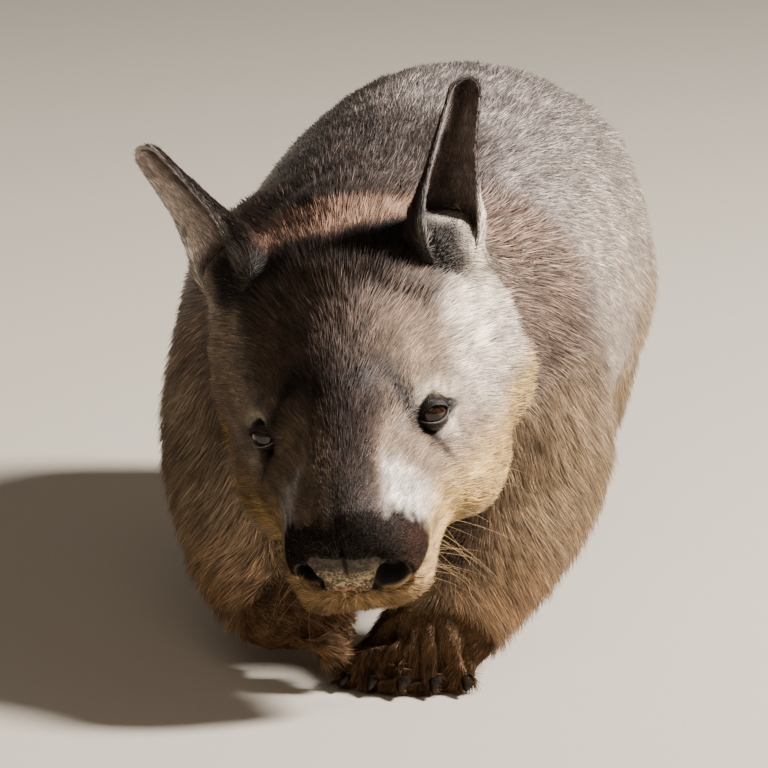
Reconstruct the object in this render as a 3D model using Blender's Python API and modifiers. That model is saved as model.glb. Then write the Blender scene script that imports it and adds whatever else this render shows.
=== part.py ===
"""A southern hairy-nosed wombat, life size, walking towards -Y with its right forefoot lifted.

Metres, +Z up, the animal's left at +X. The outer surface is the coat's, so flesh lies a few
millimetres inside it. The flesh is lofted in one piece, the fine forms are joined to it or cut
from it, and thin cuts then part it into the named parts of the body.
"""

import math
from collections import namedtuple

import bmesh
import bpy
import numpy as np
from mathutils import Matrix, Vector
from mathutils.bvhtree import BVHTree

# Driving dimensions of the body
TRUNK_LENGTH = 0.600
BACK_HEIGHT = 0.302
HIP_HALF_WIDTH = 0.119
HEAD_LENGTH = 0.205
HEAD_HALF_WIDTH = 0.084
EYE_RADIUS = 0.0085
EAR_LENGTH = 0.111
FORE_CLAW = 0.0145
HIND_CLAW = 0.0135
TOE_RADIUS = 0.0078
TOE_FAN = 5

# Where the parts stand before the whole is centred on the origin
TRUNK_FRONT = -0.215
HEAD_PIVOT = Vector((-0.004, -0.128, 0.203))
HEAD_YAW = math.radians(5.0)
HEAD_PITCH = math.radians(34.0)
HEAD_ROLL = math.radians(-12.0)
EAR_SIDE = 0.0590
EAR_BACK = -0.022
EAR_UP = 0.066
EAR_SET_BACK = 0.45
EAR_BEND = 0.010
EAR_SUNK = 0.022
EAR_CUP = 0.80
EAR_THICKNESS = 0.0036
EAR_COLUMNS = 11
EYE_SIDE = 0.0460
EYE_BACK = -0.118
EYE_UP = 0.0230
GAZE = (0.66, -0.65, 0.38)
MOUTH_TURN = 72
MOUTH_STEP = 9

# Clearances and mesh fineness
GAP = 0.0003
FLESH_VOXEL = 0.0045
FLESH_SMOOTHING = 14
FLESH_SHARE = 0.055

FUR_BROWN = (0.115, 0.085, 0.065)
FUR_GREY = (0.165, 0.145, 0.130)
EYE_BLACK = (0.012, 0.008, 0.006)
CLAW_HORN = (0.090, 0.072, 0.058)

Ear = namedtuple("Ear", "lean length breadth")
Station = namedtuple("Station", "along top bottom waist half_width taper")
Joint = namedtuple("Joint", "point across through")

# By side, 1 for the left: lean in degrees, and shares of EAR_LENGTH and of the full breadth
EARS = {1: Ear(22, 1.0, 0.90), -1: Ear(33, 0.94, 1.0)}

# Shares of TRUNK_LENGTH, BACK_HEIGHT and HIP_HALF_WIDTH, from the chest to the rump
TRUNK = [
    Station(0.00, 0.80, 0.46, 0.62, 0.50, 0.10),
    Station(0.05, 0.86, 0.38, 0.60, 0.70, 0.12),
    Station(0.14, 0.91, 0.31, 0.60, 0.84, 0.14),
    Station(0.27, 0.955, 0.265, 0.60, 0.93, 0.12),
    Station(0.42, 0.985, 0.235, 0.56, 0.99, 0.14),
    Station(0.57, 1.00, 0.225, 0.55, 1.02, 0.14),
    Station(0.72, 0.990, 0.235, 0.55, 1.00, 0.14),
    Station(0.85, 0.940, 0.265, 0.57, 0.92, 0.14),
    Station(0.93, 0.875, 0.315, 0.60, 0.76, 0.12),
    Station(0.98, 0.81, 0.40, 0.62, 0.54, 0.10),
    Station(1.00, 0.70, 0.52, 0.62, 0.26, 0.10),
]

# Shares of HEAD_LENGTH forwards and up, and of HEAD_HALF_WIDTH, from the nose to the nape
HEAD = [
    Station(-1.000, 0.060, -0.130, -0.030, 0.26, 0.00),
    Station(-0.985, 0.112, -0.175, -0.030, 0.385, 0.04),
    Station(-0.940, 0.150, -0.208, -0.050, 0.465, 0.10),
    Station(-0.860, 0.178, -0.222, -0.065, 0.480, 0.16),
    Station(-0.760, 0.198, -0.235, -0.085, 0.540, 0.20),
    Station(-0.650, 0.225, -0.258, -0.100, 0.700, 0.24),
    Station(-0.540, 0.262, -0.282, -0.105, 0.880, 0.27),
    Station(-0.420, 0.305, -0.295, -0.080, 0.955, 0.24),
    Station(-0.280, 0.348, -0.290, -0.050, 0.940, 0.22),
    Station(-0.120, 0.380, -0.265, -0.010, 0.840, 0.18),
    Station(0.050, 0.385, -0.220, 0.020, 0.750, 0.14),
    Station(0.180, 0.350, -0.160, 0.050, 0.660, 0.10),
    Station(0.240, 0.270, -0.060, 0.090, 0.420, 0.10),
]

# The legs, each from the body to the foot: centre, half-width across and half-depth through
FORELEG_PLANTED = [
    Joint((0.058, -0.085, 0.200), 0.060, 0.070),
    Joint((0.080, -0.088, 0.155), 0.047, 0.058),
    Joint((0.086, -0.102, 0.108), 0.044, 0.048),
    Joint((0.068, -0.136, 0.068), 0.041, 0.038),
    Joint((0.050, -0.168, 0.041), 0.036, 0.029),
    Joint((0.037, -0.190, 0.022), 0.0315, 0.022),
]
FORELEG_LIFTED = [
    Joint((-0.058, -0.085, 0.200), 0.060, 0.070),
    Joint((-0.081, -0.090, 0.155), 0.047, 0.058),
    Joint((-0.086, -0.108, 0.112), 0.042, 0.046),
    Joint((-0.071, -0.142, 0.070), 0.038, 0.036),
    Joint((-0.057, -0.174, 0.047), 0.031, 0.027),
    Joint((-0.044, -0.194, 0.037), 0.025, 0.021),
]
HINDLEG_TRAILING = [
    Joint((0.050, 0.255, 0.200), 0.062, 0.080),
    Joint((0.062, 0.225, 0.145), 0.052, 0.072),
    Joint((0.062, 0.215, 0.098), 0.045, 0.054),
    Joint((0.054, 0.245, 0.062), 0.034, 0.036),
    Joint((0.046, 0.258, 0.030), 0.027, 0.028),
    Joint((0.043, 0.225, 0.019), 0.0265, 0.021),
    Joint((0.042, 0.198, 0.017), 0.0275, 0.017),
]
HINDLEG_FORWARD = [
    Joint((-0.050, 0.225, 0.200), 0.062, 0.080),
    Joint((-0.064, 0.175, 0.150), 0.052, 0.072),
    Joint((-0.066, 0.135, 0.103), 0.045, 0.054),
    Joint((-0.058, 0.148, 0.064), 0.034, 0.037),
    Joint((-0.050, 0.156, 0.030), 0.027, 0.028),
    Joint((-0.047, 0.122, 0.019), 0.0265, 0.021),
    Joint((-0.046, 0.094, 0.017), 0.0275, 0.017),
]

TAIL = [
    Joint((0, 0.366, 0.186), 0.019, 0.017),
    Joint((0, 0.386, 0.174), 0.013, 0.012),
    Joint((0, 0.394, 0.162), 0.009, 0.009),
]

PALM = Vector((-0.038, -0.199, 0.037))
LIFTED_SPREAD = 0.0082
RING_POINTS = 40
SUPER_POWER = 0.86


def clear_scene():
    for obj in list(bpy.data.objects):
        bpy.data.objects.remove(obj)


def new_object(name, mesh, collection):
    obj = bpy.data.objects.new(name, mesh)
    collection.objects.link(obj)
    return obj


def object_from_bmesh(name, bm, collection):
    mesh = bpy.data.meshes.new(name)
    bm.to_mesh(mesh)
    bm.free()
    return new_object(name, mesh, collection)


def bake_modifiers(obj):
    """Replaces the mesh by the evaluated one, in world space, and drops the modifiers."""
    bpy.context.view_layer.update()
    graph = bpy.context.evaluated_depsgraph_get()
    mesh = bpy.data.meshes.new_from_object(obj.evaluated_get(graph))
    mesh.transform(obj.matrix_world)
    obj.modifiers.clear()
    obj.data = mesh
    obj.matrix_world = Matrix.Identity(4)
    return obj


def remove_objects(objects):
    for obj in list(objects):
        bpy.data.objects.remove(obj)


def spline(values, per_span):
    """Catmull-Rom through the rows of values, with per_span steps between neighbours."""
    rows = np.array(values, float)
    padded = np.vstack([2 * rows[0] - rows[1], rows, 2 * rows[-1] - rows[-2]])
    found = []
    for i in range(len(rows) - 1):
        a, b, c, d = padded[i : i + 4]
        for t in np.arange(per_span) / per_span:
            found.append(
                0.5 * (2 * b + (c - a) * t + (2 * a - 5 * b + 4 * c - d) * t**2
                       + (3 * b - a - 3 * c + d) * t**3)
            )
    return np.array(found + [rows[-1]])


def loft(name, rings, collection):
    """A closed skin over rings of equal count, with its ends filled."""
    bm = bmesh.new()
    grid = [[bm.verts.new(point) for point in ring] for ring in rings]
    count = len(grid[0])
    for near, far in zip(grid, grid[1:]):
        for i in range(count):
            j = (i + 1) % count
            bm.faces.new((near[i], near[j], far[j], far[i]))
    bm.faces.new(grid[0])
    bm.faces.new(reversed(grid[-1]))
    bmesh.ops.recalc_face_normals(bm, faces=bm.faces)
    return object_from_bmesh(name, bm, collection)


def section(station, length, height, half_width):
    """One ring across the body at a station whose sizes are shares of the three given ones."""
    along, top, bottom, waist, wide, taper = station
    points = []
    for i in range(RING_POINTS):
        turn = 2 * math.pi * i / RING_POINTS
        side = math.copysign(abs(math.cos(turn)) ** SUPER_POWER, math.cos(turn))
        rise = math.copysign(abs(math.sin(turn)) ** SUPER_POWER, math.sin(turn))
        reach = top - waist if rise > 0 else waist - bottom
        narrowed = 1 - taper * max(rise, 0) ** 2
        points.append(
            Vector((side * wide * half_width * narrowed, along * length, (waist + rise * reach) * height))
        )
    return points


def body_loft(name, stations, length, height, half_width, placed, collection):
    rings = [
        [placed @ point for point in section(row, length, height, half_width)]
        for row in spline(stations, 4)
    ]
    return loft(name, rings, collection)


def tube_loft(name, joints, collection, steps=5, sides=20, caps=(75, 50, 25), sideways_hint=(1, 0, 0)):
    """A limb or digit: elliptical rings along a smooth path, with both ends rounded."""
    rows = spline([(*j.point, j.across, j.through) for j in joints], steps)
    centres, across, through = rows[:, :3], rows[:, 3], rows[:, 4]
    tangents = np.gradient(centres, axis=0)
    tangents /= np.linalg.norm(tangents, axis=1)[:, None]
    rounding = [math.radians(a) for a in caps]
    spots = [(centres[0] - tangents[0] * through[0] * math.sin(a), tangents[0],
              across[0] * math.cos(a), through[0] * math.cos(a)) for a in rounding]
    spots += list(zip(centres, tangents, across, through))
    spots += [(centres[-1] + tangents[-1] * through[-1] * math.sin(a), tangents[-1],
               across[-1] * math.cos(a), through[-1] * math.cos(a)) for a in reversed(rounding)]
    rings = []
    for centre, tangent, wide, deep in spots:
        forward = Vector(tangent)
        hint = Vector(sideways_hint)
        sideways = (hint - forward * forward.dot(hint)).normalized()
        upright = forward.cross(sideways)
        rings.append([
            Vector(centre) + sideways * wide * math.cos(t) + upright * deep * math.sin(t)
            for t in (2 * math.pi * i / sides for i in range(sides))
        ])
    return loft(name, rings, collection)


def ellipsoid(name, centre, radii, placed, collection, segments=24, rings=14):
    bm = bmesh.new()
    bmesh.ops.create_uvsphere(bm, u_segments=segments, v_segments=rings, radius=1)
    bm.transform(placed @ Matrix.Translation(centre) @ Matrix.Diagonal((*radii, 1)))
    return object_from_bmesh(name, bm, collection)


def boolean(obj, others, operation):
    """Joins to, cuts from or keeps within obj every object of others, which are then removed."""
    tools = bpy.data.collections.new("tools")
    bpy.context.scene.collection.children.link(tools)
    for other in others:
        for home in list(other.users_collection):
            home.objects.unlink(other)
        tools.objects.link(other)
    modifier = obj.modifiers.new(operation.lower(), "BOOLEAN")
    modifier.operation = operation
    modifier.solver = "MANIFOLD"
    modifier.operand_type = "COLLECTION"
    modifier.collection = tools
    bake_modifiers(obj)
    remove_objects(tools.objects)
    bpy.data.collections.remove(tools)
    return obj


def keep_largest(obj):
    """Drops every closed surface of obj but the one with the most volume."""
    bm = bmesh.new()
    bm.from_mesh(obj.data)
    left, islands = set(bm.verts), []
    while left:
        island, queue = set(), [left.pop()]
        while queue:
            vert = queue.pop()
            island.add(vert)
            for edge in vert.link_edges:
                other = edge.other_vert(vert)
                if other in left:
                    left.remove(other)
                    queue.append(other)
        islands.append(island)

    def volume(island):
        faces = {face for vert in island for face in vert.link_faces}
        return sum(face.calc_center_median().dot(face.normal) * face.calc_area() for face in faces)

    islands.sort(key=volume)
    loose = [vert for island in islands[:-1] for vert in island]
    bmesh.ops.delete(bm, geom=loose, context="VERTS")
    bmesh.ops.triangulate(bm, faces=bm.faces)
    bm.to_mesh(obj.data)
    bm.free()
    return obj


def wedge(name, planes, collection):
    """The convex space behind every plane, each a point and an outward normal."""
    bm = bmesh.new()
    bmesh.ops.create_cube(bm, size=2)
    for point, normal in planes:
        everything = bm.verts[:] + bm.edges[:] + bm.faces[:]
        cut = bmesh.ops.bisect_plane(
            bm, geom=everything, plane_co=point, plane_no=normal, clear_outer=True
        )
        edges = [e for e in cut["geom_cut"] if isinstance(e, bmesh.types.BMEdge)]
        bmesh.ops.contextual_create(bm, geom=edges)
    bmesh.ops.recalc_face_normals(bm, faces=bm.faces)
    return object_from_bmesh(name, bm, collection)


def shifted(planes, outwards):
    return [(Vector(p) + Vector(n).normalized() * outwards, Vector(n)) for p, n in planes]


def head_matrix():
    turn = (
        Matrix.Rotation(HEAD_YAW, 4, "Z")
        @ Matrix.Rotation(HEAD_PITCH, 4, "X")
        @ Matrix.Rotation(HEAD_ROLL, 4, "Y")
    )
    return Matrix.Translation(HEAD_PIVOT) @ turn


def eye_place(side):
    """The eyeball's centre, on the left for side 1 and on the right for side -1."""
    return head_matrix() @ Vector((side * EYE_SIDE, EYE_BACK, EYE_UP))


def eye_axis(side):
    return (head_matrix().to_3x3() @ Vector((side * GAZE[0], GAZE[1], GAZE[2]))).normalized()


def head_forms(collection):
    """Skull, jowls, brows, chin and lips, before they are blended."""
    placed = head_matrix()
    forms = [
        body_loft("skull", HEAD, HEAD_LENGTH, HEAD_LENGTH, HEAD_HALF_WIDTH, placed, collection)
    ]
    for side in (-1, 1):
        for name, centre, radii in (
            ("jowl", (0.048, -0.096, -0.025), (0.032, 0.050, 0.036)),
            ("brow", (0.040, -0.108, 0.036), (0.016, 0.026, 0.010)),
            ("lip", (0.020, -0.180, -0.030), (0.0185, 0.024, 0.0165)),
            ("ear_root", (0.058, -0.024, 0.054), (0.027, 0.027, 0.032)),
        ):
            place = Vector((side * centre[0], centre[1], centre[2]))
            forms.append(ellipsoid(name, place, radii, placed, collection))
    for name, centre, radii in (
        ("chin", (0, -0.158, -0.046), (0.022, 0.032, 0.014)),
        ("nose_pad", (0, -0.196, 0.002), (0.026, 0.014, 0.019)),
    ):
        forms.append(ellipsoid(name, Vector(centre), radii, placed, collection))
    return forms


def trunk_forms(collection):
    """Trunk, shoulders, haunches, tail, legs and paws, before they are blended."""
    unmoved = Matrix.Identity(4)
    placed = Matrix.Translation((0, TRUNK_FRONT, 0))
    forms = [body_loft("trunk_form", TRUNK, TRUNK_LENGTH, BACK_HEIGHT, HIP_HALF_WIDTH, placed, collection)]
    for name, centre, radii in (
        ("throat", (0, -0.135, 0.165), (0.074, 0.060, 0.072)),
        ("nape", (0, -0.100, 0.212), (0.082, 0.080, 0.070)),
        ("belly", (0, 0.075, 0.125), (0.104, 0.150, 0.060)),
        ("haunch", (0.052, 0.262, 0.165), (0.066, 0.096, 0.084)),
        ("haunch", (-0.053, 0.225, 0.168), (0.066, 0.098, 0.084)),
        ("shoulder", (0.062, -0.080, 0.182), (0.062, 0.070, 0.078)),
        ("shoulder", (-0.062, -0.084, 0.182), (0.062, 0.070, 0.078)),
        ("tail_root", (0, 0.368, 0.192), (0.026, 0.024, 0.022)),
        ("lifted_paw", PALM, (0.024, 0.019, 0.0165)),
    ):
        forms.append(ellipsoid(name, Vector(centre), radii, unmoved, collection))
    for foot in FEET:
        centre = Vector(foot.root) + Vector((0, 0.012, 0.003))
        half_width = foot.spread * foot.toes / 2 * 0.96
        forms.append(ellipsoid("paw", centre, (half_width, 0.026, 0.0150), unmoved, collection))
    forms.append(tube_loft("tail_form", TAIL, collection))
    for joints in (FORELEG_PLANTED, FORELEG_LIFTED, HINDLEG_TRAILING, HINDLEG_FORWARD):
        forms.append(tube_loft("leg_form", joints, collection, sides=24))
    return forms


def blend_flesh(forms, collection):
    """One continuous skin over all the forms, smoothed."""
    bm = bmesh.new()
    for form in forms:
        bm.from_mesh(form.data)
    flesh = object_from_bmesh("flesh", bm, collection)
    remove_objects(forms)
    remesh = flesh.modifiers.new("blend", "REMESH")
    remesh.mode = "VOXEL"
    remesh.voxel_size = FLESH_VOXEL
    smooth = flesh.modifiers.new("soften", "SMOOTH")
    smooth.factor = 0.5
    smooth.iterations = FLESH_SMOOTHING
    bake_modifiers(flesh)
    decimate = flesh.modifiers.new("coarsen", "DECIMATE")
    decimate.ratio = FLESH_SHARE
    return bake_modifiers(flesh)


def toe(name, root, tip, radius, collection):
    middle = Vector(root).lerp(Vector(tip), 0.55) + Vector((0, 0, radius * 0.35))
    joints = [Joint(tuple(root), radius * 0.95, radius * 0.95),
              Joint(tuple(middle), radius * 1.05, radius * 1.05),
              Joint(tuple(tip), radius * 0.82, radius * 0.78)]
    return tube_loft(name, joints, collection, steps=2, sides=8, caps=(60, 30), sideways_hint=(0, 0, 1))


def claw(name, root, direction, length, width, droop, grow, collection):
    """A curved, flattened, tapering claw whose root is sunk in its toe."""
    forward = Vector(direction).normalized()
    down = Vector((0, 0, -1))
    shares = (-0.22, 0.0, 0.25, 0.5, 0.75, 1.0)
    widths = (0.80, 1.0, 0.95, 0.80, 0.58, 0.24)
    joints = []
    for share, wide in zip(shares, widths):
        point = Vector(root) + forward * length * share + down * droop * max(share, 0) ** 1.6
        joints.append(Joint(tuple(point), width * wide + grow, width * 0.72 * wide + grow))
    return tube_loft(name, joints, collection, steps=1, sides=6, caps=(55,),
                     sideways_hint=forward.cross(down))


Foot = namedtuple("Foot", "name root spread reach heading claw_length droop toes scale")

FEET = [
    Foot("forefoot_left", (0.029, -0.204, 0.0090), 0.0150, 0.021, -2, FORE_CLAW, 0.0050, 5, 1.0),
    Foot("hindfoot_left", (0.041, 0.184, 0.0090), 0.0135, 0.019, 6, HIND_CLAW, 0.0050, 4, 0.95),
    Foot("hindfoot_right", (-0.045, 0.080, 0.0090), 0.0135, 0.019, -6, HIND_CLAW, 0.0050, 4, 0.95),
]


def planted_digits(foot):
    """Root, tip, claw direction and size of each toe of a foot on the floor."""
    heading = Matrix.Rotation(math.radians(foot.heading), 3, "Z")
    digits = []
    for i in range(foot.toes):
        offset = i - (foot.toes - 1) / 2
        edge = abs(offset) / ((foot.toes - 1) / 2)
        fan = Matrix.Rotation(math.radians(offset * TOE_FAN), 3, "Z")
        size = TOE_RADIUS * foot.scale * (1.0 - 0.16 * edge)
        root = Vector((offset * foot.spread, 0.006 + 0.006 * edge, 0))
        ahead = fan @ Vector((0, -foot.reach * (1.0 - 0.22 * edge**2), -0.0015))
        base = Vector(foot.root)
        start = base + heading @ root
        end = base + heading @ (root + ahead)
        digits.append((start, end, heading @ fan @ Vector((0, -1, 0)), size))
    return digits


def lifted_digits():
    """The toes of the lifted forefoot, which hang in a bunch, bent in towards the midline."""
    along = Vector((0.95, -0.10, -0.20)).normalized()
    across = Vector((0.10, 0.80, 0.50)).normalized()
    digits = []
    for i in range(5):
        offset = i - 2
        start = PALM + across * offset * LIFTED_SPREAD + along * 0.010
        end = start + along * 0.017 * (1 - 0.05 * offset**2)
        digits.append((start, end, along + Vector((0, 0, -0.30)), TOE_RADIUS * 0.72))
    return digits


def digit_plan():
    """Every digit as (foot's name, number, root, tip, claw direction, radius, claw length, droop)."""
    plan = []
    for foot in FEET:
        for number, digit in enumerate(planted_digits(foot), 1):
            plan.append((foot.name, number, *digit, foot.claw_length, foot.droop))
    for number, digit in enumerate(lifted_digits(), 1):
        plan.append(("forefoot_right", number, *digit, FORE_CLAW * 0.7, 0.004))
    return plan


def ear_axis(side):
    lean = math.radians(EARS[side].lean)
    return Vector((side * math.sin(lean), EAR_SET_BACK, math.cos(lean))).normalized()


def ear_root(side):
    return Vector((side * EAR_SIDE, EAR_BACK, EAR_UP))


def ear_solid(side, collection):
    """A long cupped blade with a rounded tip, open forwards, closed to a tube at its root."""
    placed = head_matrix()
    axis = ear_axis(side)
    opening = Vector((side * 0.35, -0.93, 0))
    opening = (opening - axis * opening.dot(axis)).normalized()
    across = axis.cross(opening)
    shares = (0.0, 0.12, 0.26, 0.42, 0.58, 0.74, 0.87, 0.95, 1.0)
    half_widths = (0.0150, 0.0225, 0.0195, 0.0155, 0.0128, 0.0112, 0.0100, 0.0082, 0.0042)
    half_angles = (160, 146, 126, 106, 92, 84, 78, 72, 64)
    sheet = bmesh.new()
    grid = []
    length = EAR_LENGTH * EARS[side].length
    for share, half_width, half_angle in zip(shares, half_widths, half_angles):
        slim = 1 + (EARS[side].breadth - 1) * min(share / 0.26, 1)
        radius = half_width * slim / math.sin(math.radians(min(half_angle, 90)))
        bend = across * (-side) * EAR_BEND * share * (1 - share)
        centre = ear_root(side) + axis * (length * share - EAR_SUNK) + bend
        row = []
        for k in range(EAR_COLUMNS):
            turn = math.radians(half_angle) * (2 * k / (EAR_COLUMNS - 1) - 1)
            out = -opening * (math.cos(turn) - 0.35) * EAR_CUP + across * math.sin(turn)
            row.append(sheet.verts.new(placed @ (centre + out * radius)))
        grid.append(row)
    for low, high in zip(grid, grid[1:]):
        for k in range(EAR_COLUMNS - 1):
            sheet.faces.new((low[k], low[k + 1], high[k + 1], high[k]))
    ear = object_from_bmesh("ear_form", sheet, collection)
    solid = ear.modifiers.new("thickness", "SOLIDIFY")
    solid.thickness = EAR_THICKNESS
    solid.offset = 0
    bake_modifiers(ear)
    bm = bmesh.new()
    bm.from_mesh(ear.data)
    bmesh.ops.recalc_face_normals(bm, faces=bm.faces)
    bm.to_mesh(ear.data)
    bm.free()
    return ear


def eyeball(name, side, grow, collection):
    return ellipsoid(name, eye_place(side), (EYE_RADIUS + grow,) * 3, Matrix.Identity(4), collection, 16, 10)


def eyelids(side, collection):
    """A shell that wraps the eyeball, to be opened by the eye_opening."""
    centre = eye_place(side)
    return ellipsoid("lids", centre - eye_axis(side) * 0.0004, (EYE_RADIUS + 0.0024,) * 3,
                     Matrix.Identity(4), collection, 16, 10)


def eye_opening(side, collection):
    """An ellipse as wide and as high as the gap between the lids, driven in along the gaze."""
    axis = eye_axis(side)
    upright = head_matrix().to_3x3() @ Vector((0, 0.30, 1))
    upright = (upright - axis * upright.dot(axis)).normalized()
    across = upright.cross(axis)
    tilt = Matrix.Rotation(math.radians(-10 * side), 4, "Z")
    frame = Matrix((across, upright, axis)).transposed().to_4x4()
    place = Matrix.Translation(eye_place(side) + axis * 0.012) @ frame @ tilt
    return ellipsoid("opening", Vector((0, 0, 0)), (0.0088, 0.0062, 0.0110), place, collection, 16, 8)


def nostril_cutters(side, placed, collection):
    """A comma: a round hole with a tail that runs back along the side of the nose."""
    hole = ellipsoid("nostril", Vector((side * 0.0215, -0.1985, -0.0090)), (0.0098, 0.0115, 0.0084),
                     placed, collection, 12, 8)
    tail = ellipsoid("nostril_tail", Vector((side * 0.0300, -0.1890, -0.0035)), (0.0070, 0.0105, 0.0054),
                     placed, collection, 10, 6)
    return [hole, tail]


def groove(name, tree, sights, radius, hint, collection):
    """A thin tube that lies along the skin where lines of sight, each (from, towards), meet it."""
    points = []
    for start, towards in sights:
        hit = tree.ray_cast(start, (towards - start).normalized())[0]
        if hit is not None:
            points.append(hit)
    joints = [Joint(tuple(p), radius, radius) for p in points]
    return tube_loft(name, joints, collection, steps=1, sides=6, caps=(45,), sideways_hint=hint)


def mouth_cutters(head_tree, placed, collection):
    """The line of the mouth round the muzzle, and the cleft of the upper lip."""
    sights = []
    for degrees in range(-MOUTH_TURN, MOUTH_TURN + 1, MOUTH_STEP):
        turn = math.radians(degrees)
        back = 0.014 * (abs(degrees) / MOUTH_TURN) ** 1.5
        towards = Vector((0, -0.150, -0.0365 - 0.004 * math.cos(turn)))
        start = towards + Vector((math.sin(turn) * 0.09, -math.cos(turn) * 0.12, -0.012))
        start.y += back
        towards.y += back
        sights.append((placed @ start, placed @ towards))
    mouth = groove("mouth", head_tree, sights, 0.0016, (0, 0, 1), collection)
    cleft_sights = []
    for drop in (-0.012, -0.017, -0.022, -0.027, -0.032):
        towards = Vector((0, -0.150, drop))
        cleft_sights.append((placed @ (towards + Vector((0, -0.12, -0.01))), placed @ towards))
    cleft = groove("cleft", head_tree, cleft_sights, 0.0013, (1, 0, 0), collection)
    return [mouth, cleft]


def shaped_body(collection):
    """The flesh with ears, toes and lids joined on, and sockets, nostrils, mouth and soles cut."""
    placed = head_matrix()
    flesh = blend_flesh(head_forms(collection) + trunk_forms(collection), collection)
    tree = BVHTree.FromObject(flesh, bpy.context.evaluated_depsgraph_get())
    mouth, cleft = mouth_cutters(tree, placed, collection)
    added = [eyelids(side, collection) for side in (-1, 1)]
    added += [ear_solid(side, collection) for side in (-1, 1)]
    added += [toe("toe", root, tip, radius, collection)
              for _, _, root, tip, _, radius, _, _ in digit_plan()]
    boolean(flesh, added, "UNION")
    nostrils = [cut for side in (-1, 1) for cut in nostril_cutters(side, placed, collection)]
    openings = [eye_opening(side, collection) for side in (-1, 1)]
    sockets = [eyeball("socket", side, GAP, collection) for side in (-1, 1)]
    claw_beds = [claw_of(digit, GAP, collection) for digit in digit_plan()]
    floor = wedge("floor", [((0, 0, 0), (0, 0, 1))], collection)
    for cuts in (nostrils, [cleft], [mouth], openings, sockets, claw_beds, [floor]):
        boolean(flesh, cuts, "DIFFERENCE")
    return keep_largest(flesh)


def claw_of(digit, grow, collection):
    foot, number, root, tip, direction, radius, length, droop = digit
    start = tip + Vector((0, 0, radius * 0.15))
    lifted = Vector(direction) + Vector((0, 0, 0.10))
    return claw(f"claw_{foot}_{number}", start, lifted, length, radius * 0.62, droop, grow, collection)


def local_planes(rows):
    """Planes given in the head's own frame, as (point, normal), in the body's frame."""
    placed = head_matrix()
    return [(placed @ Vector(p), placed.to_3x3() @ Vector(n)) for p, n in rows]


def regions():
    """Each part's convex space, in the order in which the parts are taken from the body."""
    left, right = (1, 0, 0), (-1, 0, 0)
    ahead, behind, under, above = (0, -1, 0), (0, 1, 0), (0, 0, -1), (0, 0, 1)
    found = [
        ("forefoot_left", [((0.038, -0.178, 0.030), (0.20, 0.75, 0.62)), ((-0.012, 0, 0), right),
                           ((0.09, 0, 0), left), ((0, -0.14, 0), behind), ((0, -0.26, 0), ahead),
                           ((0, 0, 0.05), above)]),
        ("forefoot_right", [((-0.052, -0.186, 0.043), (-0.62, 0.45, 0.40)), ((0.012, 0, 0), left),
                            ((-0.085, 0, 0), right), ((0, -0.165, 0), behind), ((0, -0.235, 0), ahead),
                            ((0, 0, 0.062), above)]),
        ("hindfoot_left", [((0.046, 0.255, 0.036), (0, 0.20, 1)), ((0, 0.15, 0), ahead),
                           ((0.005, 0, 0), right)]),
        ("hindfoot_right", [((-0.05, 0.153, 0.036), (0, 0.20, 1)), ((0, 0.01, 0), ahead),
                            ((0, 0.21, 0), behind), ((-0.005, 0, 0), left)]),
        ("hindleg_left", [((0.045, 0.20, 0.118), (-0.55, 0, 0.83)), ((0, 0.130, 0), ahead),
                          ((0.004, 0, 0), right)]),
        ("hindleg_right", [((-0.045, 0.13, 0.122), (0.55, 0, 0.83)), ((0, 0.04, 0), ahead),
                           ((0, 0.245, 0), behind), ((-0.004, 0, 0), left)]),
    ]
    for side in (-1, 1):
        axis = ear_axis(side)
        base = ear_root(side) + axis * 0.013
        found.append(("ear_left" if side > 0 else "ear_right", local_planes([
            (tuple(base), tuple(-axis)), ((0, 0.07, 0), behind), ((0, 0, 0.045), under),
            ((side * 0.02, 0, 0), (-side, 0, 0))])))
    head_planes = local_planes([
        ((0, -0.012, 0), (0, 0.93, -0.36)),
        ((-0.05, -0.08, -0.060), (-0.5, 0.25, -1)), ((0.05, -0.08, -0.060), (0.5, 0.25, -1)),
        ((-0.086, -0.04, 0), (-1, 0.35, 0)), ((0.086, -0.04, 0), (1, 0.35, 0)),
    ])
    found += [
        ("head", head_planes),
        ("foreleg_left", [((0.045, -0.10, 0.128), (-0.60, 0, 0.80)), ((0, -0.02, 0), behind),
                          ((0.003, 0, 0), right)]),
        ("foreleg_right", [((-0.045, -0.10, 0.132), (0.60, 0, 0.80)), ((0, -0.02, 0), behind),
                           ((-0.003, 0, 0), left)]),
        ("neck", [((0, -0.092, 0.21), (0, 0.95, -0.30))]),
        ("tail", [((0, 0.381, 0.176), (0, -0.88, 0.48)), ((0, 0, 0.20), above), ((-0.03, 0, 0), right),
                  ((0.03, 0, 0), left)]),
    ]
    return found


def part_body(flesh, collection):
    """Cuts the body into its named parts with gaps of GAP, and leaves the rest as the torso."""
    nodes = []
    for name, planes in regions():
        node = new_object(name, flesh.data.copy(), collection)
        boolean(node, [wedge("keep", shifted(planes, -GAP / 2), collection)], "INTERSECT")
        nodes.append(keep_largest(node))
        boolean(flesh, [wedge("drop", shifted(planes, GAP / 2), collection)], "DIFFERENCE")
        keep_largest(flesh)
    flesh.name = "torso"
    return nodes + [flesh]


def material(name, colour, roughness):
    made = bpy.data.materials.new(name)
    made.use_nodes = True
    shader = made.node_tree.nodes["Principled BSDF"]
    shader.inputs["Base Color"].default_value = (*colour, 1)
    shader.inputs["Roughness"].default_value = roughness
    shader.inputs["Metallic"].default_value = 0
    return made


def finish(nodes, made):
    for node in nodes:
        node.data.materials.clear()
        node.data.materials.append(made)
        node.data.shade_smooth()
        node.data.set_sharp_from_angle(angle=math.radians(50))


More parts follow.
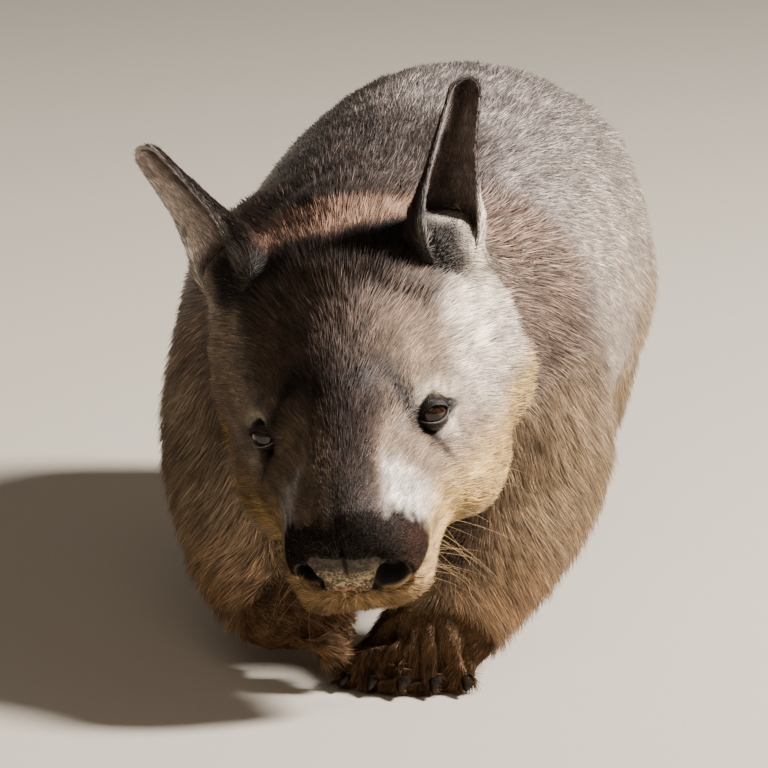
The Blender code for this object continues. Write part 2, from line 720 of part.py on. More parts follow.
def centre_on_floor(nodes):
    """Moves every part so that the whole box's foot is centred on the origin."""
    corners = np.array([v.co for node in nodes for v in node.data.vertices])
    low, high = corners.min(axis=0), corners.max(axis=0)
    shift = Matrix.Translation((-(low[0] + high[0]) / 2, -(low[1] + high[1]) / 2, -low[2]))
    for node in nodes:
        node.data.transform(shift)


def main():
    clear_scene()
    wombat = bpy.data.collections.new("wombat")
    bpy.context.scene.collection.children.link(wombat)
    flesh = shaped_body(wombat)
    body_nodes = part_body(flesh, wombat)
    eyes = [eyeball("eye_left", 1, 0, wombat), eyeball("eye_right", -1, 0, wombat)]
    claws = [claw_of(digit, 0, wombat) for digit in digit_plan()]
    finish([n for n in body_nodes if "foot" not in n.name], material("coat", FUR_GREY, 0.85))
    finish([n for n in body_nodes if "foot" in n.name], material("feet", FUR_BROWN, 0.85))
    finish(eyes, material("eye", EYE_BLACK, 0.08))
    finish(claws, material("claw", CLAW_HORN, 0.45))
    centre_on_floor(body_nodes + eyes + claws)


main()
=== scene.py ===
"""Looks of the wombat: one skin, a coat of mesh tufts, eyes, claws, light and camera."""

import math
from contextlib import contextmanager

import bmesh
import bpy
import numpy as np
from mathutils import Matrix, Vector
from mathutils.kdtree import KDTree


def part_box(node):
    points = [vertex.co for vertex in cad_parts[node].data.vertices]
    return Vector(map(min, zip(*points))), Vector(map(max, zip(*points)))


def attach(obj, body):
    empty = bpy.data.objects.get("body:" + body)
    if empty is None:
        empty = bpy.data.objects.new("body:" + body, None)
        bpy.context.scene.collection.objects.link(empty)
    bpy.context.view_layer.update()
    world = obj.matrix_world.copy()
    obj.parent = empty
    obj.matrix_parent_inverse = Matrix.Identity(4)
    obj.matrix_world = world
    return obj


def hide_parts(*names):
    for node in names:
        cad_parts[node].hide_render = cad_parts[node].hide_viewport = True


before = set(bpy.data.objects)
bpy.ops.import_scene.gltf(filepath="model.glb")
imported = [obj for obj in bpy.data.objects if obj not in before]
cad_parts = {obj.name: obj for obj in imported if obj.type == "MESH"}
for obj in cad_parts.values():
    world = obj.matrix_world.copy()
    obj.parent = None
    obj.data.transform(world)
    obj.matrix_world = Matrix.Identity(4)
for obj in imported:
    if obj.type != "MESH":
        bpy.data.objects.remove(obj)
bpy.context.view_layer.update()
RNG = np.random.default_rng(7)

# The head's place, as in the solids, before the whole was centred
HEAD_PIVOT = Vector((-0.004, -0.128, 0.203))
HEAD_TURN = (
    Matrix.Rotation(math.radians(5.0), 3, "Z")
    @ Matrix.Rotation(math.radians(34.0), 3, "X")
    @ Matrix.Rotation(math.radians(-12.0), 3, "Y")
)
EYE_LOCAL = Vector((0.046, -0.118, 0.023))
EYE_RADIUS = 0.0085
GAZE = Vector((0.66, -0.65, 0.38)).normalized()

EAR_SIDE, EAR_BACK, EAR_UP = 0.059, -0.022, 0.066
EAR_SUNK, EAR_CUP, EAR_BEND = 0.022, 0.8, 0.01
EAR_SET_BACK = 0.45
EAR_THICKNESS = 0.0021
EAR_LENGTH = {1: 0.111, -1: 0.111 * 0.94}
EAR_LEAN = {1: 22, -1: 33}
EAR_BREADTH = {1: 0.95, -1: 1.04}
# Half the width, and half the angle that the cup spans, at shares of an ear's length
EAR_MARKS = (0.0, 0.12, 0.26, 0.42, 0.58, 0.74, 0.87, 0.95, 0.985, 1.0)
EAR_WIDTHS = (0.015, 0.0225, 0.0212, 0.0174, 0.0139, 0.0117, 0.0102, 0.0094, 0.009, 0.0086)
EAR_ANGLES = (160, 146, 126, 106, 92, 84, 78, 72, 68, 64)

SKIN_VOXEL = 0.0021
SKIN_SWELL = 0.0004
SKIN_KEPT = 0.6
LOWEST_SKIN, LOWEST_HAIR = 0.0004, 0.0003
NOSE_ASIDE, NOSE_SHEAR, NOSE_LEVEL = -0.004, 0.15, 0.16
# Centres and half sizes of what fills the nostrils and the sockets, which are sculpted afresh
PLUGS = (
    ((0.0215, -0.1905, -0.009), (0.0115, 0.0095, 0.0105)),
    ((0.029, -0.183, -0.0035), (0.008, 0.012, 0.0068)),
    (EYE_LOCAL, (EYE_RADIUS + 0.0016,) * 3),
)
FLESH = [
    "head", "neck", "torso", "tail", "foreleg_left", "foreleg_right", "hindleg_left", "hindleg_right",
    "forefoot_left", "forefoot_right", "hindfoot_left", "hindfoot_right",
]
EARS = ["ear_left", "ear_right"]

# Length and width in metres, lift in degrees, and how many tufts grow on a square metre
TUFTS_HEAD = (0.011, 0.001, 14, 0.85e6)
CHANGE_FACE = (-0.0035, -0.0003, -2, 0.9e6)
CHANGE_MUZZLE = (-0.004, -0.0002, 0, 0.8e6)
TUFTS_TRUNK = (0.0135, 0.00118, 12, 0.43e6)
TUFTS_LEGS = (0.015, 0.00115, 17, 0.50e6)
TUFTS_FEET = (0.0036, 0.00062, 12, 1.6e6)
TUFTS_PAD = (0.0017, 0.00034, 15, 4.0e6)
TUFTS_EAR = (0.0044, 0.0006, 11, 1.5e6)
TOE_FUR = (0.005, 0.00022, 0, 0)
TOE_COVER = {"forefoot_right": 1.9}
PIECES = (
    "face_left", "face_right", "brow_left", "brow_right", "neck", "back_left", "back_right",
    "forelegs", "hindlegs", "ears", "nose", "forefeet", "hindfeet",
)

# Bounds of the roots across, back and up, how many a side, lengths and direction
WHISKERS = (
    (((0.022, 1), (-0.182, -0.145), (-0.042, -0.016)), 40, (0.024, 0.054), (0.62, 0.05, -0.3)),
    (((0.05, 1), (-0.135, -0.095), (-0.045, -0.015)), 12, (0.016, 0.028), (0.8, 0.35, -0.45)),
)
WHISKER_STEPS, WHISKER_RADIUS = 8, 0.00014
# Angles of a bristle's three corners, and half the breadth of a tuft on the map for baking
THIRDS = np.array((0.0, 2.094, 4.189))
MAP_PATCH = 0.0015

# The photograph's camera: its angles in degrees, its distance, its focal length and frame in
# pixels, the point it is set from as seen from between the eyes, and that point in the frame
CAMERA_AZIMUTH, CAMERA_ELEVATION, CAMERA_DISTANCE = 9.0, 11.0, 3.2
FOCAL_PIXELS, PHOTO_PIXELS = 5942, 768
AIM_FROM_EYES = Vector((-0.0009, -0.0416, -0.0057))
AIM_PIXEL = (335.6, 448.2)
LIT_POINT = Vector((0, -0.05, 0.15))


def box_centre(node):
    low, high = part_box(node)
    return (low + high) / 2


def claw_nodes(foot=""):
    return sorted(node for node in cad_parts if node.startswith("claw_" + foot))


def turned(point):
    return HEAD_TURN @ Vector(point)


EYE_MIDDLE = (box_centre("eye_left") + box_centre("eye_right")) / 2
HEAD_AT = EYE_MIDDLE - turned((0, EYE_LOCAL.y, EYE_LOCAL.z))
SHIFT = np.array(HEAD_AT - HEAD_PIVOT)
HEAD_AXES = np.array(HEAD_TURN)


def to_head(points):
    """World points as rows, in the head's own axes: left, back and up."""
    return (np.asarray(points) - np.array(HEAD_AT)) @ HEAD_AXES


def from_head(points):
    return np.asarray(points) @ HEAD_AXES.T + np.array(HEAD_AT)


def to_stance(points):
    return np.asarray(points) - SHIFT


# Plain numeric helpers


def ramp(low, high, x):
    t = np.clip((np.asarray(x, float) - low) / (high - low), 0, 1)
    return t * t * (3 - 2 * t)


def hill(x, middle, width):
    return np.exp(-(((np.asarray(x, float) - middle) / width) ** 2))


def distance(rows, spot):
    return np.linalg.norm(rows - spot, axis=-1)


def unit(rows):
    return rows / np.maximum(np.linalg.norm(rows, axis=-1, keepdims=True), 1e-12)


def lattice(cells, seed):
    """A steady pseudo-random number in 0..1 for each row of whole numbers."""
    h = (cells[..., 0] * 374761393 + cells[..., 1] * 668265263 + cells[..., 2] * 2147483647
         + seed * 974634777) & 0xFFFFFFFF
    h = ((h ^ (h >> 13)) * 1274126177) & 0xFFFFFFFF
    h = ((h ^ (h >> 16)) * 2246822519) & 0xFFFFFFFF
    return ((h ^ (h >> 15)) & 0xFFFFFF) / float(0xFFFFFF)


def cloud(points, size, seed=0):
    """Smooth noise in -1..1 that changes over about size metres."""
    p = np.asarray(points, float) / size + 1000.0
    base = np.floor(p).astype(np.int64)
    f = p - base
    f = f * f * (3 - 2 * f)
    total = 0
    for dx in (0, 1):
        for dy in (0, 1):
            for dz in (0, 1):
                corner = np.array((dx, dy, dz))
                w = np.prod(np.where(corner, f, 1 - f), axis=-1)
                total = total + w * lattice(base + corner, seed)
    return total * 2 - 1


# Meshes as arrays


def read(items, key, width, kind=np.int32):
    """One property of all items, as rows of the given width."""
    values = np.empty(len(items) * width, kind)
    items.foreach_get(key, values)
    return values.reshape(-1, width)


def mesh_vertices(mesh):
    return read(mesh.vertices, "co", 3, float)


def mesh_triangles(mesh):
    mesh.calc_loop_triangles()
    return read(mesh.loop_triangles, "vertices", 3)


def mesh_edges(mesh):
    return read(mesh.edges, "vertices", 2)


def set_vertices(mesh, points):
    mesh.vertices.foreach_set("co", np.ascontiguousarray(points, np.float32).ravel())
    mesh.update()


def normals_of(points, tris):
    a, b, c = points[tris[:, 0]], points[tris[:, 1]], points[tris[:, 2]]
    face = np.cross(b - a, c - a)
    total = np.zeros_like(points)
    for corner in range(3):
        for axis in range(3):
            total[:, axis] += np.bincount(tris[:, corner], face[:, axis], len(points))
    return unit(total)


def relaxed(values, edges, steps, amount=0.5):
    """Values at the vertices, averaged with their neighbours steps times."""
    flat = values.reshape(len(values), -1).astype(float)
    share = np.broadcast_to(np.asarray(amount, float).reshape(-1, 1), (len(flat), 1))
    degree = np.bincount(edges.ravel(), minlength=len(flat))[:, None].clip(1)
    for _ in range(steps):
        near = np.empty_like(flat)
        for k in range(flat.shape[1]):
            near[:, k] = (np.bincount(edges[:, 0], flat[edges[:, 1], k], len(flat))
                          + np.bincount(edges[:, 1], flat[edges[:, 0], k], len(flat)))
        flat += share * (near / degree - flat)
    return flat.reshape(values.shape)


def new_object(name, mesh):
    obj = bpy.data.objects.new(name, mesh)
    bpy.context.scene.collection.objects.link(obj)
    return obj


@contextmanager
def edited(mesh):
    """The mesh as a bmesh, which is written back at the end."""
    bm = bmesh.new()
    bm.from_mesh(mesh)
    yield bm
    bm.to_mesh(mesh)
    bm.free()


def smooth(mesh):
    mesh.polygons.foreach_set("use_smooth", np.ones(len(mesh.polygons), bool))


def paint(mesh, tints):
    layer = mesh.color_attributes.new("coat", "FLOAT_COLOR", "POINT")
    rgba = np.ones((len(tints), 4), np.float32)
    rgba[:, :3] = tints
    layer.data.foreach_set("color", rgba.ravel())


def add_bake_map(mesh, spots):
    """The map for baking, from one place for each vertex."""
    loops = read(mesh.loops, "vertex_index", 1)[:, 0]
    uv = mesh.uv_layers.new(name="OFBake")
    uv.data.foreach_set("uv", spots[loops].astype(np.float32).ravel())


def tree_of(points):
    tree = KDTree(len(points))
    for number, point in enumerate(points):
        tree.insert(point, number)
    tree.balance()
    return tree


def evaluated_mesh(obj):
    bpy.context.view_layer.update()
    graph = bpy.context.evaluated_depsgraph_get()
    mesh = bpy.data.meshes.new_from_object(obj.evaluated_get(graph))
    old = obj.data
    obj.modifiers.clear()
    obj.data = mesh
    bpy.data.meshes.remove(old)
    return mesh


# The skin


def flesh_object():
    """All flesh nodes in one mesh, swollen to close their gaps, with eyes and nostrils filled."""
    joined = bmesh.new()
    for name in FLESH:
        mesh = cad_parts[name].data.copy()
        with edited(mesh) as bm:
            bmesh.ops.remove_doubles(bm, verts=bm.verts, dist=1e-6)
            bmesh.ops.recalc_face_normals(bm, faces=bm.faces)
            bm.normal_update()
            for vert in bm.verts:
                vert.co += vert.normal * SKIN_SWELL
        joined.from_mesh(mesh)
        bpy.data.meshes.remove(mesh)
    for side in (-1, 1):
        for centre, radii in PLUGS:
            place = Matrix.Translation(HEAD_AT + turned((side * centre[0], centre[1], centre[2])))
            shape = place @ HEAD_TURN.to_4x4() @ Matrix.Diagonal((*radii, 1))
            bmesh.ops.create_uvsphere(joined, u_segments=24, v_segments=14, radius=1, matrix=shape)
    mesh = bpy.data.meshes.new("skin")
    joined.to_mesh(mesh)
    joined.free()
    return new_object("skin", mesh)


def region_labels(points):
    """The number of the nearest flesh node for each point."""
    spots, numbers = [], []
    for number, name in enumerate(FLESH):
        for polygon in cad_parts[name].data.polygons:
            spots.append(polygon.center)
            numbers.append(number)
    tree = tree_of(spots)
    return np.array([numbers[tree.find(p)[1]] for p in points])


def region_weights(points, edges):
    labels = region_labels(points)
    one_hot = np.zeros((len(points), len(FLESH)))
    one_hot[np.arange(len(points)), labels] = 1
    return relaxed(one_hot, edges, 24)


def weight_of(weights, *starts):
    picked = [i for i, name in enumerate(FLESH) if name.startswith(starts)]
    return weights[:, picked].sum(axis=1).clip(0, 1)


def coat_depth(weights, points):
    """How far the skin lies under the outside of the coat."""
    local = to_head(points)
    muzzle = ramp(-0.145, -0.185, local[:, 1]) * weight_of(weights, "head")
    return (
        weight_of(weights, "torso", "tail") * 0.0055
        + weight_of(weights, "neck") * 0.005
        + weight_of(weights, "head") * (0.003 - 0.0022 * muzzle)
        + weight_of(weights, "foreleg", "hindleg") * 0.0045
        + weight_of(weights, "forefoot", "hindfoot") * 0.0012
    )


def base_skin():
    obj = flesh_object()
    remesh = obj.modifiers.new("blend", "REMESH")
    remesh.mode = "VOXEL"
    remesh.voxel_size = SKIN_VOXEL
    mesh = evaluated_mesh(obj)
    points, edges, tris = mesh_vertices(mesh), mesh_edges(mesh), mesh_triangles(mesh)
    weights = region_weights(points, edges)
    soft = weight_of(weights, "torso", "tail", "neck", "foreleg", "hindleg")
    points = relaxed(points, edges, 8, 0.5)
    points = relaxed(points, edges, 34, 0.5 * soft)
    points = relaxed(points, edges, 6, 0.5 * weight_of(weights, "head"))
    depth = coat_depth(weights, points)
    for _ in range(4):
        points = points - normals_of(points, tris) * depth[:, None] / 4
        points = relaxed(points, edges, 1, 0.3)
    points[:, 2] = np.maximum(points[:, 2], LOWEST_SKIN)
    set_vertices(mesh, points)
    return obj


def split_where(obj, wanted):
    """Halves every edge whose both ends are wanted by the given test on positions."""
    with edited(obj.data) as bm:
        keep = wanted(np.array([v.co for v in bm.verts]))
        edges = [e for e in bm.edges if keep[e.verts[0].index] and keep[e.verts[1].index]]
        bmesh.ops.subdivide_edges(bm, edges=edges, cuts=1, use_grid_fill=True)


def eye_distance(local):
    centre = np.array(EYE_LOCAL) * np.where(local[:, :1] < 0, (-1, 1, 1), (1, 1, 1))
    return distance(local, centre)


def front_test(points):
    x, y, z = to_head(points).T
    return (y < -0.06) & (z > -0.075) & (np.abs(x) < 0.095)


def fine_test(points):
    local = to_head(points)
    nose = (local[:, 1] < -0.17) & (np.abs(local[:, 0]) < 0.05)
    return nose | (eye_distance(local) < 0.0235)


def finest_test(points):
    local = to_head(points)
    return ((local[:, 1] < -0.187) & (local[:, 2] > -0.034)) | (eye_distance(local) < 0.015)


def foot_test(points):
    spots = [claw for claws in toe_ways().values() for claw, _ in claws]
    return np.min([distance(points, spot) for spot in spots], axis=0) < 0.036


def refined(obj):
    """The skin with finer faces on the toes, the face, the nose and round the eyes."""
    for wanted in (foot_test, front_test, fine_test):
        split_where(obj, wanted)
    mesh = obj.data
    points, edges = mesh_vertices(mesh), mesh_edges(mesh)
    local = to_head(points)
    face = ramp(-0.05, -0.075, local[:, 1])
    nose = ramp(-0.165, -0.18, local[:, 1])
    points = relaxed(points, edges, 5, 0.5 * face)
    points = relaxed(points, edges, 24, 0.5 * nose)
    local = to_head(points)
    local[:, 0] += nose_shift(local)
    set_vertices(mesh, from_head(local))
    split_where(obj, finest_test)
    return obj


def eye_frame(side):
    """Centre and axes of an eye, in the head's axes: across to the outer corner, up and the gaze."""
    axis = Vector((side * GAZE.x, GAZE.y, GAZE.z))
    up = Vector((0, 0.3, 1))
    up = (up - axis * up.dot(axis)).normalized()
    outer = axis.cross(up) * -side
    centre = Vector((side * EYE_LOCAL.x, EYE_LOCAL.y, EYE_LOCAL.z))
    return np.array(centre), np.array(outer), np.array(up), np.array(axis)


def lid_curve(u, v):
    """Below 1 inside the gap between the lids, which are drawn out into two corners."""
    u = u + 0.0014
    slant = v + 0.06 * u - 0.0006
    half_height = np.where(slant > 0, 0.0047 - 0.12 * np.abs(u), 0.0044)
    return np.sqrt(np.abs(u / 0.0079) ** 1.8 + np.abs(slant / half_height) ** 1.8)


def sculpt_eye(local, side):
    """Lids that wrap the eyeball, with their rims, their crease and the hollow round them."""
    centre, outer, up, axis = eye_frame(side)
    q = local - centre
    u, v, w = q @ outer, q @ up, q @ axis
    reach = np.hypot(u, v)
    near = (reach < 0.02) & (w > -0.006) & (w < 0.02)
    gap = lid_curve(u, v)
    ball = np.sqrt(np.maximum((EYE_RADIUS + 0.0009) ** 2 - reach**2, 0))
    ball = np.where(reach < EYE_RADIUS + 0.0009, ball, 0)
    upper = ramp(-0.001, 0.002, v)
    lid = ball + (0.0005 + 0.0007 * upper) * hill(gap, 1.14, 0.2)
    lid -= (0.0003 + 0.0006 * upper) * hill(gap, 1.85, 0.2)
    brow = 0.0015 * hill(v, 0.0098, 0.004) * hill(u, 0.001, 0.011)
    brow += 0.0006 * hill(v, -0.01, 0.003) * hill(u, 0, 0.009)
    hold = ramp(0.0165, 0.0085, reach)
    target = w * (1 - hold) + lid * hold + brow
    inside = ramp(1.06, 0.96, gap)
    pit = np.sqrt(np.maximum((EYE_RADIUS - 0.0016) ** 2 - reach**2, 0))
    target = target * (1 - inside) + pit * inside
    target = np.where(near, target, w)
    return local + (target - w)[:, None] * axis


def nose_shift(straight):
    """How far the front of the nose stands aside of the head's own middle."""
    x, y, z = straight.T
    rise = np.clip(z + 0.009, -0.02, 0.012)
    return (NOSE_ASIDE + NOSE_SHEAR * rise) * ramp(0.042, 0.012, np.abs(x)) * ramp(-0.16, -0.19, y)


def nose_place(local):
    """Across from the nose's own middle, back, and up, with its lean and its shift taken out."""
    straight = local.copy()
    for _ in range(4):
        straight[:, 0] = local[:, 0] - nose_shift(straight)
    straight[:, 2] += NOSE_LEVEL * straight[:, 0].clip(-0.035, 0.035)
    return straight.T


def crust_half(z):
    """Half the breadth of the bare plate between the nostrils, which narrows downwards."""
    return np.minimum(0.0125 + 0.43 * (z + 0.0145), 0.0205 - 0.9 * (z - 0.004).clip(0))


def nostril_share(local):
    """Below 1 inside a nostril, whose inner edge is the slanting side of the plate."""
    x, _, z = nose_place(local)
    s = np.abs(x)
    inner = s - 0.0125 - 0.43 * (z + 0.0145)
    return np.maximum(np.hypot((s - 0.0222) / 0.0088, (z + 0.0085) / 0.0098), 1 - inner / 0.0035)


def crust_share(local):
    x, y, z = nose_place(local)
    half = crust_half(z)
    inside = ramp(half + 0.0008, half - 0.0008, np.abs(x)) * ramp(-0.186, -0.192, y)
    return inside * ramp(-0.02, -0.018, z) * ramp(0.016, 0.004, z)


def pad_share(x, y):
    """1 on the dark pad at the front of the nose, whose flanks reach back round its sides."""
    s = np.abs(x)
    return ramp(-0.189, -0.2, y - 0.2 * s - 0.6 * (s - 0.022).clip(0)) * ramp(0.045, 0.038, s)


def lip_edge(s):
    """The height at which the dark pad ends and the hairy lip begins."""
    return -0.019 + 0.0085 * (s / 0.034) ** 2


def sculpt_nose(local):
    x, y, z = nose_place(local)
    front = ramp(-0.172, -0.188, y)
    hole = nostril_share(local)
    push = front * 0.01 * ramp(1.0, 0.35, hole) - front * 0.0012 * hill(hole, 1.25, 0.2)
    slit = hill(x, 0, 0.001) * ramp(-0.01, -0.004, z) * ramp(0.018, 0.008, z)
    push += front * (0.0024 * slit + 0.001 * hill(x, 0, 0.004) * ramp(-0.02, -0.01, z))
    push += front * 0.0012 * hill(x, 0, 0.0016) * ramp(-0.016, -0.022, z)
    push += front * 0.001 * hill(z, -0.0195, 0.0012) * ramp(0.016, 0.01, np.abs(x))
    grains = cloud(local, 0.0011, 51) + 0.7 * cloud(local, 0.0005, 52)
    push -= 0.0003 * crust_share(local) * (grains + 0.4)
    push -= front * 0.00012 * cloud(local, 0.0009, 53)
    moved = local.copy()
    moved[:, 1] += push
    return moved


def sculpt_mouth(local, normals):
    """A groove along the closed lips, which fades out under the cheeks."""
    along = ramp(-0.128, -0.146, local[:, 1])
    cut = hill(local[:, 2], -0.0448, 0.0013) * along
    return local - normals * (0.0016 * cut)[:, None]


def toe_ways():
    """For each foot: the middle and the direction of each of its claws."""
    rows = {}
    for foot in FLESH[-4:]:
        claws = [np.array(box_centre(node)) for node in claw_nodes(foot)]
        rows[foot] = [(claw, unit(claw - np.array(box_centre(foot)))) for claw in claws]
    return rows


def sculpt_toes(points, normals):
    """Plump toes behind the claws, parted by clefts."""
    push = np.zeros(len(points))
    for claws in toe_ways().values():
        toe, reach = np.zeros(len(points)), np.zeros(len(points))
        for claw, way in claws:
            across = unit(np.cross(way, (0, 0, 1)))
            run, aside = (points - claw) @ way, (points - claw) @ across
            length = ramp(-0.034, -0.02, run) * (distance(points, claw) < 0.04)
            toe = np.maximum(toe, length * hill(aside, 0, 0.0048))
            reach = np.maximum(reach, length * hill(aside, 0, 0.0115))
        push += 0.0024 * toe - 0.0056 * (reach - toe).clip(0)
    return points + normals * push[:, None]


def sculpted(obj):
    mesh = obj.data
    points = mesh_vertices(mesh)
    points = sculpt_toes(points, normals_of(points, mesh_triangles(mesh)))
    local = to_head(points)
    far = local[:, 1:2] > -0.055
    for side in (-1, 1):
        local = np.where(np.sign(local[:, :1]) == side, sculpt_eye(local, side), local)
    normals = normals_of(points, mesh_triangles(mesh)) @ HEAD_AXES
    local = sculpt_nose(sculpt_mouth(local, normals))
    points = np.where(far, points, from_head(local))
    points[:, 2] = np.maximum(points[:, 2], LOWEST_SKIN)
    set_vertices(mesh, points)
    return obj


# The ears


def ear_axis(side):
    lean = math.radians(EAR_LEAN[side])
    return unit(np.array([side * math.sin(lean), EAR_SET_BACK, math.cos(lean)]))


def ear_root(side):
    return np.array([side * EAR_SIDE, EAR_BACK, EAR_UP])


def ear_opening(side):
    return np.array([side * 0.35, -0.93, 0.0])


def ear_surface(side, rows, columns):
    """A cupped blade in the head's axes, from the root to the tip, and each row's share along it."""
    axis = ear_axis(side)
    opening = ear_opening(side)
    opening = unit(opening - axis * (opening @ axis))
    across = np.cross(axis, opening)
    share = np.linspace(0, 1, rows) ** 0.9
    broader = 1 + (EAR_BREADTH[side] - 1) * np.clip(share / 0.26, 0, 1)
    width = np.interp(share, EAR_MARKS, EAR_WIDTHS) * broader
    for _ in range(rows // 3):
        width[1:-1] = (width[:-2] + 2 * width[1:-1] + width[2:]) / 4
    width *= np.sqrt(np.clip(1 - np.clip((share - 0.915) / 0.085, 0, 1) ** 2, 0.02, 1))
    angle = np.radians(np.interp(share, EAR_MARKS, EAR_ANGLES))
    grid = np.empty((rows, columns, 3))
    for i in range(rows):
        bend = across * (-side) * EAR_BEND * share[i] * (1 - share[i])
        centre = ear_root(side) + axis * (EAR_LENGTH[side] * share[i] - EAR_SUNK) + bend
        radius = width[i] / math.sin(min(angle[i], math.pi / 2))
        turn = angle[i] * np.linspace(-1, 1, columns)
        out = np.outer(np.sin(turn), across) - np.outer((np.cos(turn) - 0.35) * EAR_CUP, opening)
        grid[i] = centre + out * radius
    return grid, share


def shell_faces(rows, columns):
    """Faces of two grids of points, one behind the other, closed along their border."""

    def at(i, j, back):
        return (back * rows + i) * columns + j

    faces = []
    for i in range(rows - 1):
        for j in range(columns - 1):
            faces.append((at(i, j, 0), at(i, j + 1, 0), at(i + 1, j + 1, 0), at(i + 1, j, 0)))
            faces.append((at(i, j, 1), at(i + 1, j, 1), at(i + 1, j + 1, 1), at(i, j + 1, 1)))
    border = [(0, j) for j in range(columns)] + [(i, columns - 1) for i in range(1, rows)]
    border += [(rows - 1, j) for j in range(columns - 2, -1, -1)]
    border += [(i, 0) for i in range(rows - 2, 0, -1)]
    for (a, b), (c, d) in zip(border, border[1:] + border[:1]):
        faces.append((at(a, b, 0), at(a, b, 1), at(c, d, 1), at(c, d, 0)))
    return faces


def ear_object(side):
    """A closed shell: the cupped surface made solid, thick in the middle and thin at its rim."""
    rows, columns = 90, 46
    grid, share = ear_surface(side, rows, columns)
    normal = unit(np.cross(np.gradient(grid, axis=1), np.gradient(grid, axis=0)))
    if (normal[rows // 2, columns // 2] @ ear_opening(side)) > 0:
        normal = -normal
    share = share[:, None]
    rim = np.abs(np.linspace(-1, 1, columns))[None, :]
    thick = EAR_THICKNESS * (1 - share * 0.45) * (1 - 0.45 * rim**6)
    thick = np.where(share > 0.985, thick * 0.6, thick)[..., None]
    outer, inner = grid + normal * (thick / 2), grid - normal * (thick / 2)
    points = np.vstack([from_head(outer.reshape(-1, 3)), from_head(inner.reshape(-1, 3))])
    mesh = bpy.data.meshes.new("ear")
    mesh.from_pydata(points.tolist(), [], shell_faces(rows, columns))
    with edited(mesh) as bm:
        bmesh.ops.recalc_face_normals(bm, faces=bm.faces)
    return new_object("ear_form", mesh)


def with_ears(obj):
    """The skin with both ears joined to it in one closed surface."""
    ears = [ear_object(side) for side in (1, -1)]
    tools = bpy.data.collections.new("ears")
    bpy.context.scene.collection.children.link(tools)
    for ear in ears:
        bpy.context.scene.collection.objects.unlink(ear)
        tools.objects.link(ear)
    union = obj.modifiers.new("ears", "BOOLEAN")
    union.operation = "UNION"
    union.solver = "MANIFOLD"
    union.operand_type = "COLLECTION"
    union.collection = tools
    evaluated_mesh(obj)
    for ear in ears:
        bpy.data.objects.remove(ear)
    bpy.data.collections.remove(tools)
    return obj


def lightened(obj):
    """The same surface with fewer triangles, which go first where it is flat."""
    fewer = obj.modifiers.new("fewer", "DECIMATE")
    fewer.ratio = SKIN_KEPT
    evaluated_mesh(obj)
    return obj


def ear_shares(points):
    """For each point: how much it is ear, its share along it, 1 inside the cup, and 0..1 to the rim."""
    local = to_head(points)
    found = np.zeros((len(points), 4))
    columns = 31
    for side in (1, -1):
        grid, share = ear_surface(side, 60, columns)
        flat = grid.reshape(-1, 3)
        tree = tree_of(flat)
        run = (local - ear_root(side)) @ ear_axis(side)
        near = (run > -0.006) & (run < EAR_LENGTH[side]) & (local[:, 0] * side > 0.015)
        core = grid.mean(axis=1)
        for i in np.nonzero(near)[0]:
            _, index, off = tree.find(local[i])
            if off < 0.003:
                row, column = divmod(index, columns)
                within = float(np.dot(local[i] - flat[index], core[row] - flat[index]) > 0)
                amount = float(ramp(-0.006, 0.006, run[i]))
                found[i] = amount, share[row], within, abs(column / (columns // 2) - 1)
    return found


# Colours of the animal, listed as display values


def colour(red, green, blue):
    value = np.array([red, green, blue]) / 255
    return np.where(value < 0.04045, value / 12.92, ((value + 0.055) / 1.055) ** 2.4)


BACK_GREY = colour(142, 130, 124)
# Painted shade on the animal's right side of the back
BACK_PAINTED_SHADE = colour(78, 58, 44)
FLANK = colour(240, 221, 208)
SHOULDER = colour(106, 77, 60)
# Dark fur of the nape, with painted shade in the hollow behind the head
NAPE_DARK_AND_SHADE = colour(52, 39, 32)
BELLY = colour(122, 96, 72)
ARM = colour(208, 181, 149)
SHIN = colour(184, 148, 110)
# Dark fur inside the left foreleg, with painted shade under the head
INNER_ARM_AND_SHADE = colour(84, 60, 40)
FOOT = colour(104, 78, 54)
# Dark fur of the crown, with the painted shadow of the ear over the forehead
CROWN_DARK_AND_SHADE = colour(40, 30, 25)
# Painted light: the lit band along the ridge of the crown
RIDGE_PAINTED_LIGHT = colour(152, 118, 98)
FOREHEAD = colour(90, 73, 63)
FOREHEAD_SIDE = colour(126, 104, 86)
BRIDGE = colour(48, 35, 28)
CHEEK = colour(164, 142, 122)
CHEEK_LOW = colour(208, 170, 102)
TEMPLE = colour(220, 204, 188)
MUZZLE_SIDE = colour(230, 217, 205)
# Painted light on the animal's right side of the muzzle
MUZZLE_PAINTED_LIGHT = colour(166, 140, 114)
UNDER_EYE = colour(140, 118, 98)
UPPER_ARM = colour(222, 196, 168)
NOSE = colour(32, 24, 18)
NOSE_FLANK = colour(50, 30, 18)
LIP = colour(176, 144, 102)
CRUST = colour(172, 152, 112)
CRUST_LOW = colour(142, 98, 66)
CHIN = colour(104, 80, 56)
BROW = colour(206, 190, 166)
# Dark lids and tear line, also used for the painted shade of a fold above each eye's inner corner
EYE_RIM_AND_FOLD_SHADE = colour(22, 15, 11)
# Painted highlight along the lower lid
PAINTED_LID_HIGHLIGHT = colour(150, 140, 134)
EAR_OUTSIDE = colour(50, 36, 30)
EAR_INSIDE = colour(240, 222, 210)
# Painted shade in the cup of the ear on the animal's left
EAR_SHADED = colour(66, 46, 38)
EAR_GROOVE = colour(64, 47, 40)
EAR_EDGE = colour(240, 231, 220)
EAR_BASE = colour(206, 190, 168)
